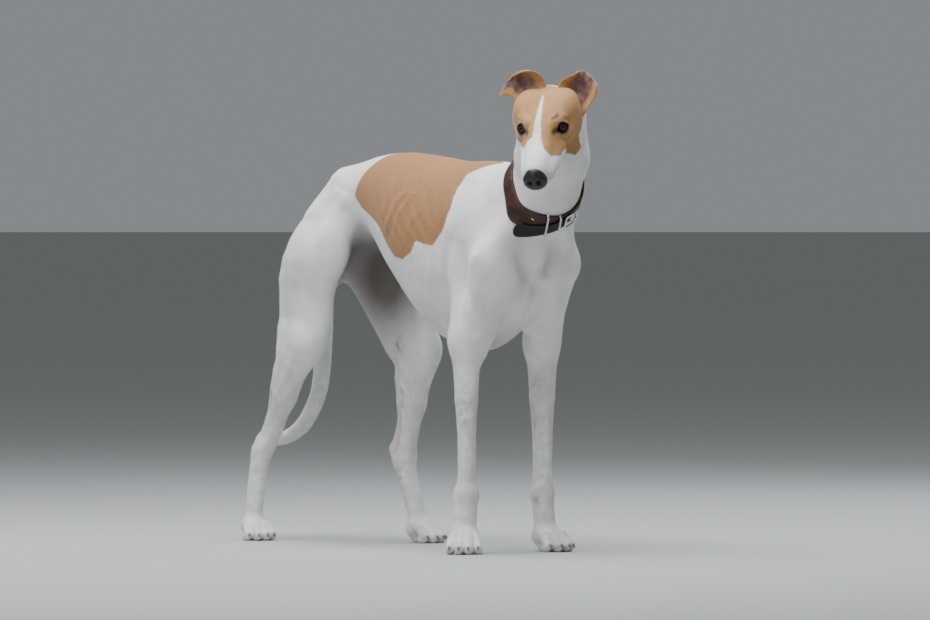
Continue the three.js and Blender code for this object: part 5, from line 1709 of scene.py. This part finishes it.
points = points_of(hide.data) / MM - ORIGIN
region = np.digitize(points[:, 0], REGION_ENDS)
store(hide.data, "hair_length", hair_length(points) * MM)
store(hide.data, "hair_cover", hair_cover(hide.data, points))
store(hide.data, "hair_region", region)
print("hair regions:", np.bincount(region).tolist())


# %% The hair tree
HAIR_PATCH = 0.003  # side of the patch of the unwrap that one hair takes its colour from


def hair_tree():
    tree, given = node_group("lay_hair", [
        ("Skin", "Geometry", None), ("Region", "Float", 0.0), ("Hairs per square metre", "Float", 50000.0),
        ("Hair width", "Float", 0.0004), ("Lift", "Float", 0.16), ("Seed", "Int", 1),
        ("Hair material", "Material", None)], "Hair")

    def times(a, b):
        return calc(tree, "MULTIPLY", a, b)

    def xyz(**values):
        return add(tree, "ShaderNodeCombineXYZ", values).outputs[0]

    def plus(a, b):
        return add(tree, "ShaderNodeVectorMath", {0: a, 1: b}, operation="ADD").outputs[0]

    # roots, scattered over one region of the skin
    here = add(tree, "FunctionNodeCompare", {0: named(tree, "hair_region"), 1: given["Region"], 12: 0.5},
               data_type="FLOAT", operation="EQUAL").outputs[0]
    density = times(times(named(tree, "hair_cover"), given["Hairs per square metre"]), here)
    scattered = add(tree, "GeometryNodeDistributePointsOnFaces",
                    {"Mesh": given["Skin"], "Density": density, "Seed": given["Seed"]},
                    distribute_method="RANDOM")

    # each hair lies along the coat, lifted and turned a little at random
    upright = add(tree, "FunctionNodeAlignRotationToVector", {"Vector": scattered.outputs["Normal"]},
                  axis="Z").outputs[0]
    laid = add(tree, "FunctionNodeAlignRotationToVector",
               {"Rotation": upright, "Vector": named(tree, "way", "FLOAT_VECTOR")}, axis="Y",
               pivot_axis="Z").outputs[0]
    stray = add(tree, "FunctionNodeRandomValue",
                {0: (-0.05, -0.2, -0.35), 1: (0.12, 0.2, 0.35), "Seed": given["Seed"]},
                data_type="FLOAT_VECTOR").outputs[0]
    lift = add(tree, "FunctionNodeEulerToRotation", {"Euler": plus(stray, xyz(X=given["Lift"]))}).outputs[0]
    turned = add(tree, "FunctionNodeRotateRotation", {"Rotation": laid, "Rotate By": lift},
                 rotation_space="LOCAL").outputs[0]

    # one blade of unit size, tapered and curled, with its patch of the unwrap
    blade = add(tree, "GeometryNodeMeshGrid",
                {"Size X": 1.0, "Size Y": 1.0, "Vertices X": 2, "Vertices Y": 3})
    position = add(tree, "GeometryNodeInputPosition").outputs[0]
    place = add(tree, "ShaderNodeSeparateXYZ", {0: position}).outputs
    along = calc(tree, "ADD", place["Y"], 0.5)
    slim = times(place["X"], calc(tree, "SUBTRACT", 1.04, along))
    curl = times(times(along, along), -0.12)
    patch = xyz(X=times(calc(tree, "ADD", place["X"], 0.5), HAIR_PATCH), Y=times(along, HAIR_PATCH))
    kept = add(tree, "GeometryNodeStoreNamedAttribute",
               {"Geometry": blade.outputs["Mesh"], "Name": "patch", "Value": patch},
               data_type="FLOAT_VECTOR", domain="POINT").outputs[0]
    shaped = add(tree, "GeometryNodeSetPosition",
                 {"Geometry": kept, "Position": xyz(X=slim, Y=along, Z=curl)})

    # blades on the roots, with their colour's place on the unwrap
    share = add(tree, "FunctionNodeRandomValue", {2: 0.7, 3: 1.2, "Seed": given["Seed"]}).outputs[1]
    length = times(named(tree, "hair_length"), share)
    hairs = add(tree, "GeometryNodeInstanceOnPoints",
                {"Points": scattered.outputs["Points"], "Instance": shaped.outputs[0], "Rotation": turned,
                 "Scale": xyz(X=given["Hair width"], Y=length, Z=length)})
    solid = add(tree, "GeometryNodeRealizeInstances", {"Geometry": hairs.outputs[0]})
    uv = plus(named(tree, "OFBake", "FLOAT_VECTOR"), named(tree, "patch", "FLOAT_VECTOR"))
    mapped = add(tree, "GeometryNodeStoreNamedAttribute",
                 {"Geometry": solid.outputs[0], "Name": "OFBake", "Value": uv}, data_type="FLOAT2",
                 domain="CORNER")
    dressed = add(tree, "GeometryNodeSetMaterial",
                  {"Geometry": mapped.outputs[0], "Material": given["Hair material"]})
    add(tree, "NodeGroupOutput", {0: dressed.outputs[0]})
    return tree


HAIR = hair_tree()
HAIRS_PER_M2 = 160000
FIRST_SEED = 11
for number in range(REGIONS):
    add_modifier(hide, HAIR, {"Region": float(number), "Hairs per square metre": float(HAIRS_PER_M2),
                              "Seed": FIRST_SEED + number, "Hair material": hair_coat})
    hair = plain_mesh(hide, f"hair_{number + 1}")
    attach(hair, "root")
    print(hair.name, "triangles:", triangle_count(hair), list(hair.data.uv_layers.keys()))

# %% [markdown]
# ## Stage, light and camera
#
# A wide pale floor runs to the horizon. The light is that of an overcast day: a broad soft source above,
# a gentle fill from the camera's side, and an even surround.

# %% Floor
FLOOR_RADIUS, FLOOR_CORNERS = 60.0, 96
turn = 2 * np.pi * np.arange(FLOOR_CORNERS) / FLOOR_CORNERS
rim = np.stack([FLOOR_RADIUS * np.cos(turn), FLOOR_RADIUS * np.sin(turn), 0 * turn], 1)
floor = in_scene("floor", mesh_of("floor", rim, [range(FLOOR_CORNERS)]))
paper, _, _ = material("pale_paper", Roughness=0.9, Base_Color=colour("#AEB0AE"))
floor.data.materials.append(paper)


# %% Light
VIEW_BEARING = math.radians(57)
toward = vec(math.sin(VIEW_BEARING), -math.cos(VIEW_BEARING), 0)  # from the animal to the camera
aside = vec(math.cos(VIEW_BEARING), math.sin(VIEW_BEARING), 0)  # to the right in the picture
LIGHTS = {  # metres toward the camera, aside and up; height of the aim, width, watts, tint
    "sky": (0.5, -0.5, 3.3, 0.5, 3.4, 230, "#F4F8FF"),
    "fill": (3.2, -1.6, 1.5, 0.45, 2.2, 16, "#FFF9F0"),
    "back": (-2.2, 1.6, 2.2, 0.5, 1.8, 40, "#F0F5FF"),
}
for name, (near, side_step, up, aim_height, width, watts, tint) in LIGHTS.items():
    light = bpy.data.lights.new(name, "AREA")
    light.shape = "DISK"
    light.size, light.energy, light.color = width, watts, colour(tint)[:3]
    lamp = in_scene(name, light)
    lamp.location = toward * near + aside * side_step + vec(0, 0, up)
    lamp.rotation_euler = (Vector((0, 0, aim_height)) - lamp.location).to_track_quat("-Z", "Y").to_euler()
world = bpy.data.worlds.new("studio")
bpy.context.scene.world = world
world.use_nodes = True
surround = world.node_tree.nodes["Background"].inputs
surround["Color"].default_value = colour("#DDE2E6")
surround["Strength"].default_value = 0.34

# %% [markdown]
# The camera stands 16 m away with a long lens, as a sports photographer does, so the legs keep their true
# lengths. Its bearing, height and lens come from where the paws, the chest and the rump fall in the frame.

# %% Camera
CAMERA_DISTANCE, CAMERA_HEIGHT = 16.0, 0.7206
FOCAL_PIXELS, IMAGE_WIDTH, SENSOR_WIDTH = 8857, 930, 36.0
HORIZON_ABOVE_CENTRE, ORIGIN_LEFT_OF_CENTRE = 162, 35
yaw = math.atan(ORIGIN_LEFT_OF_CENTRE / FOCAL_PIXELS)
pitch = math.atan(HORIZON_ABOVE_CENTRE / FOCAL_PIXELS)
ahead = -toward * math.cos(yaw) + aside * math.sin(yaw)
ahead = ahead * math.cos(pitch) + vec(0, 0, -math.sin(pitch))
lens = bpy.data.cameras.new("camera")
lens.sensor_width = SENSOR_WIDTH
lens.lens = FOCAL_PIXELS * SENSOR_WIDTH / IMAGE_WIDTH
lens.clip_end = 200
camera = in_scene("camera", lens)
camera.location = toward * CAMERA_DISTANCE + vec(0, 0, CAMERA_HEIGHT) + ORIGIN * MM * vec(1, 1, 0)
camera.rotation_mode = "QUATERNION"
camera.rotation_quaternion = Vector(ahead).to_track_quat("-Z", "Y")
bpy.context.scene.camera = camera
print("lens", round(lens.lens, 1), "mm")
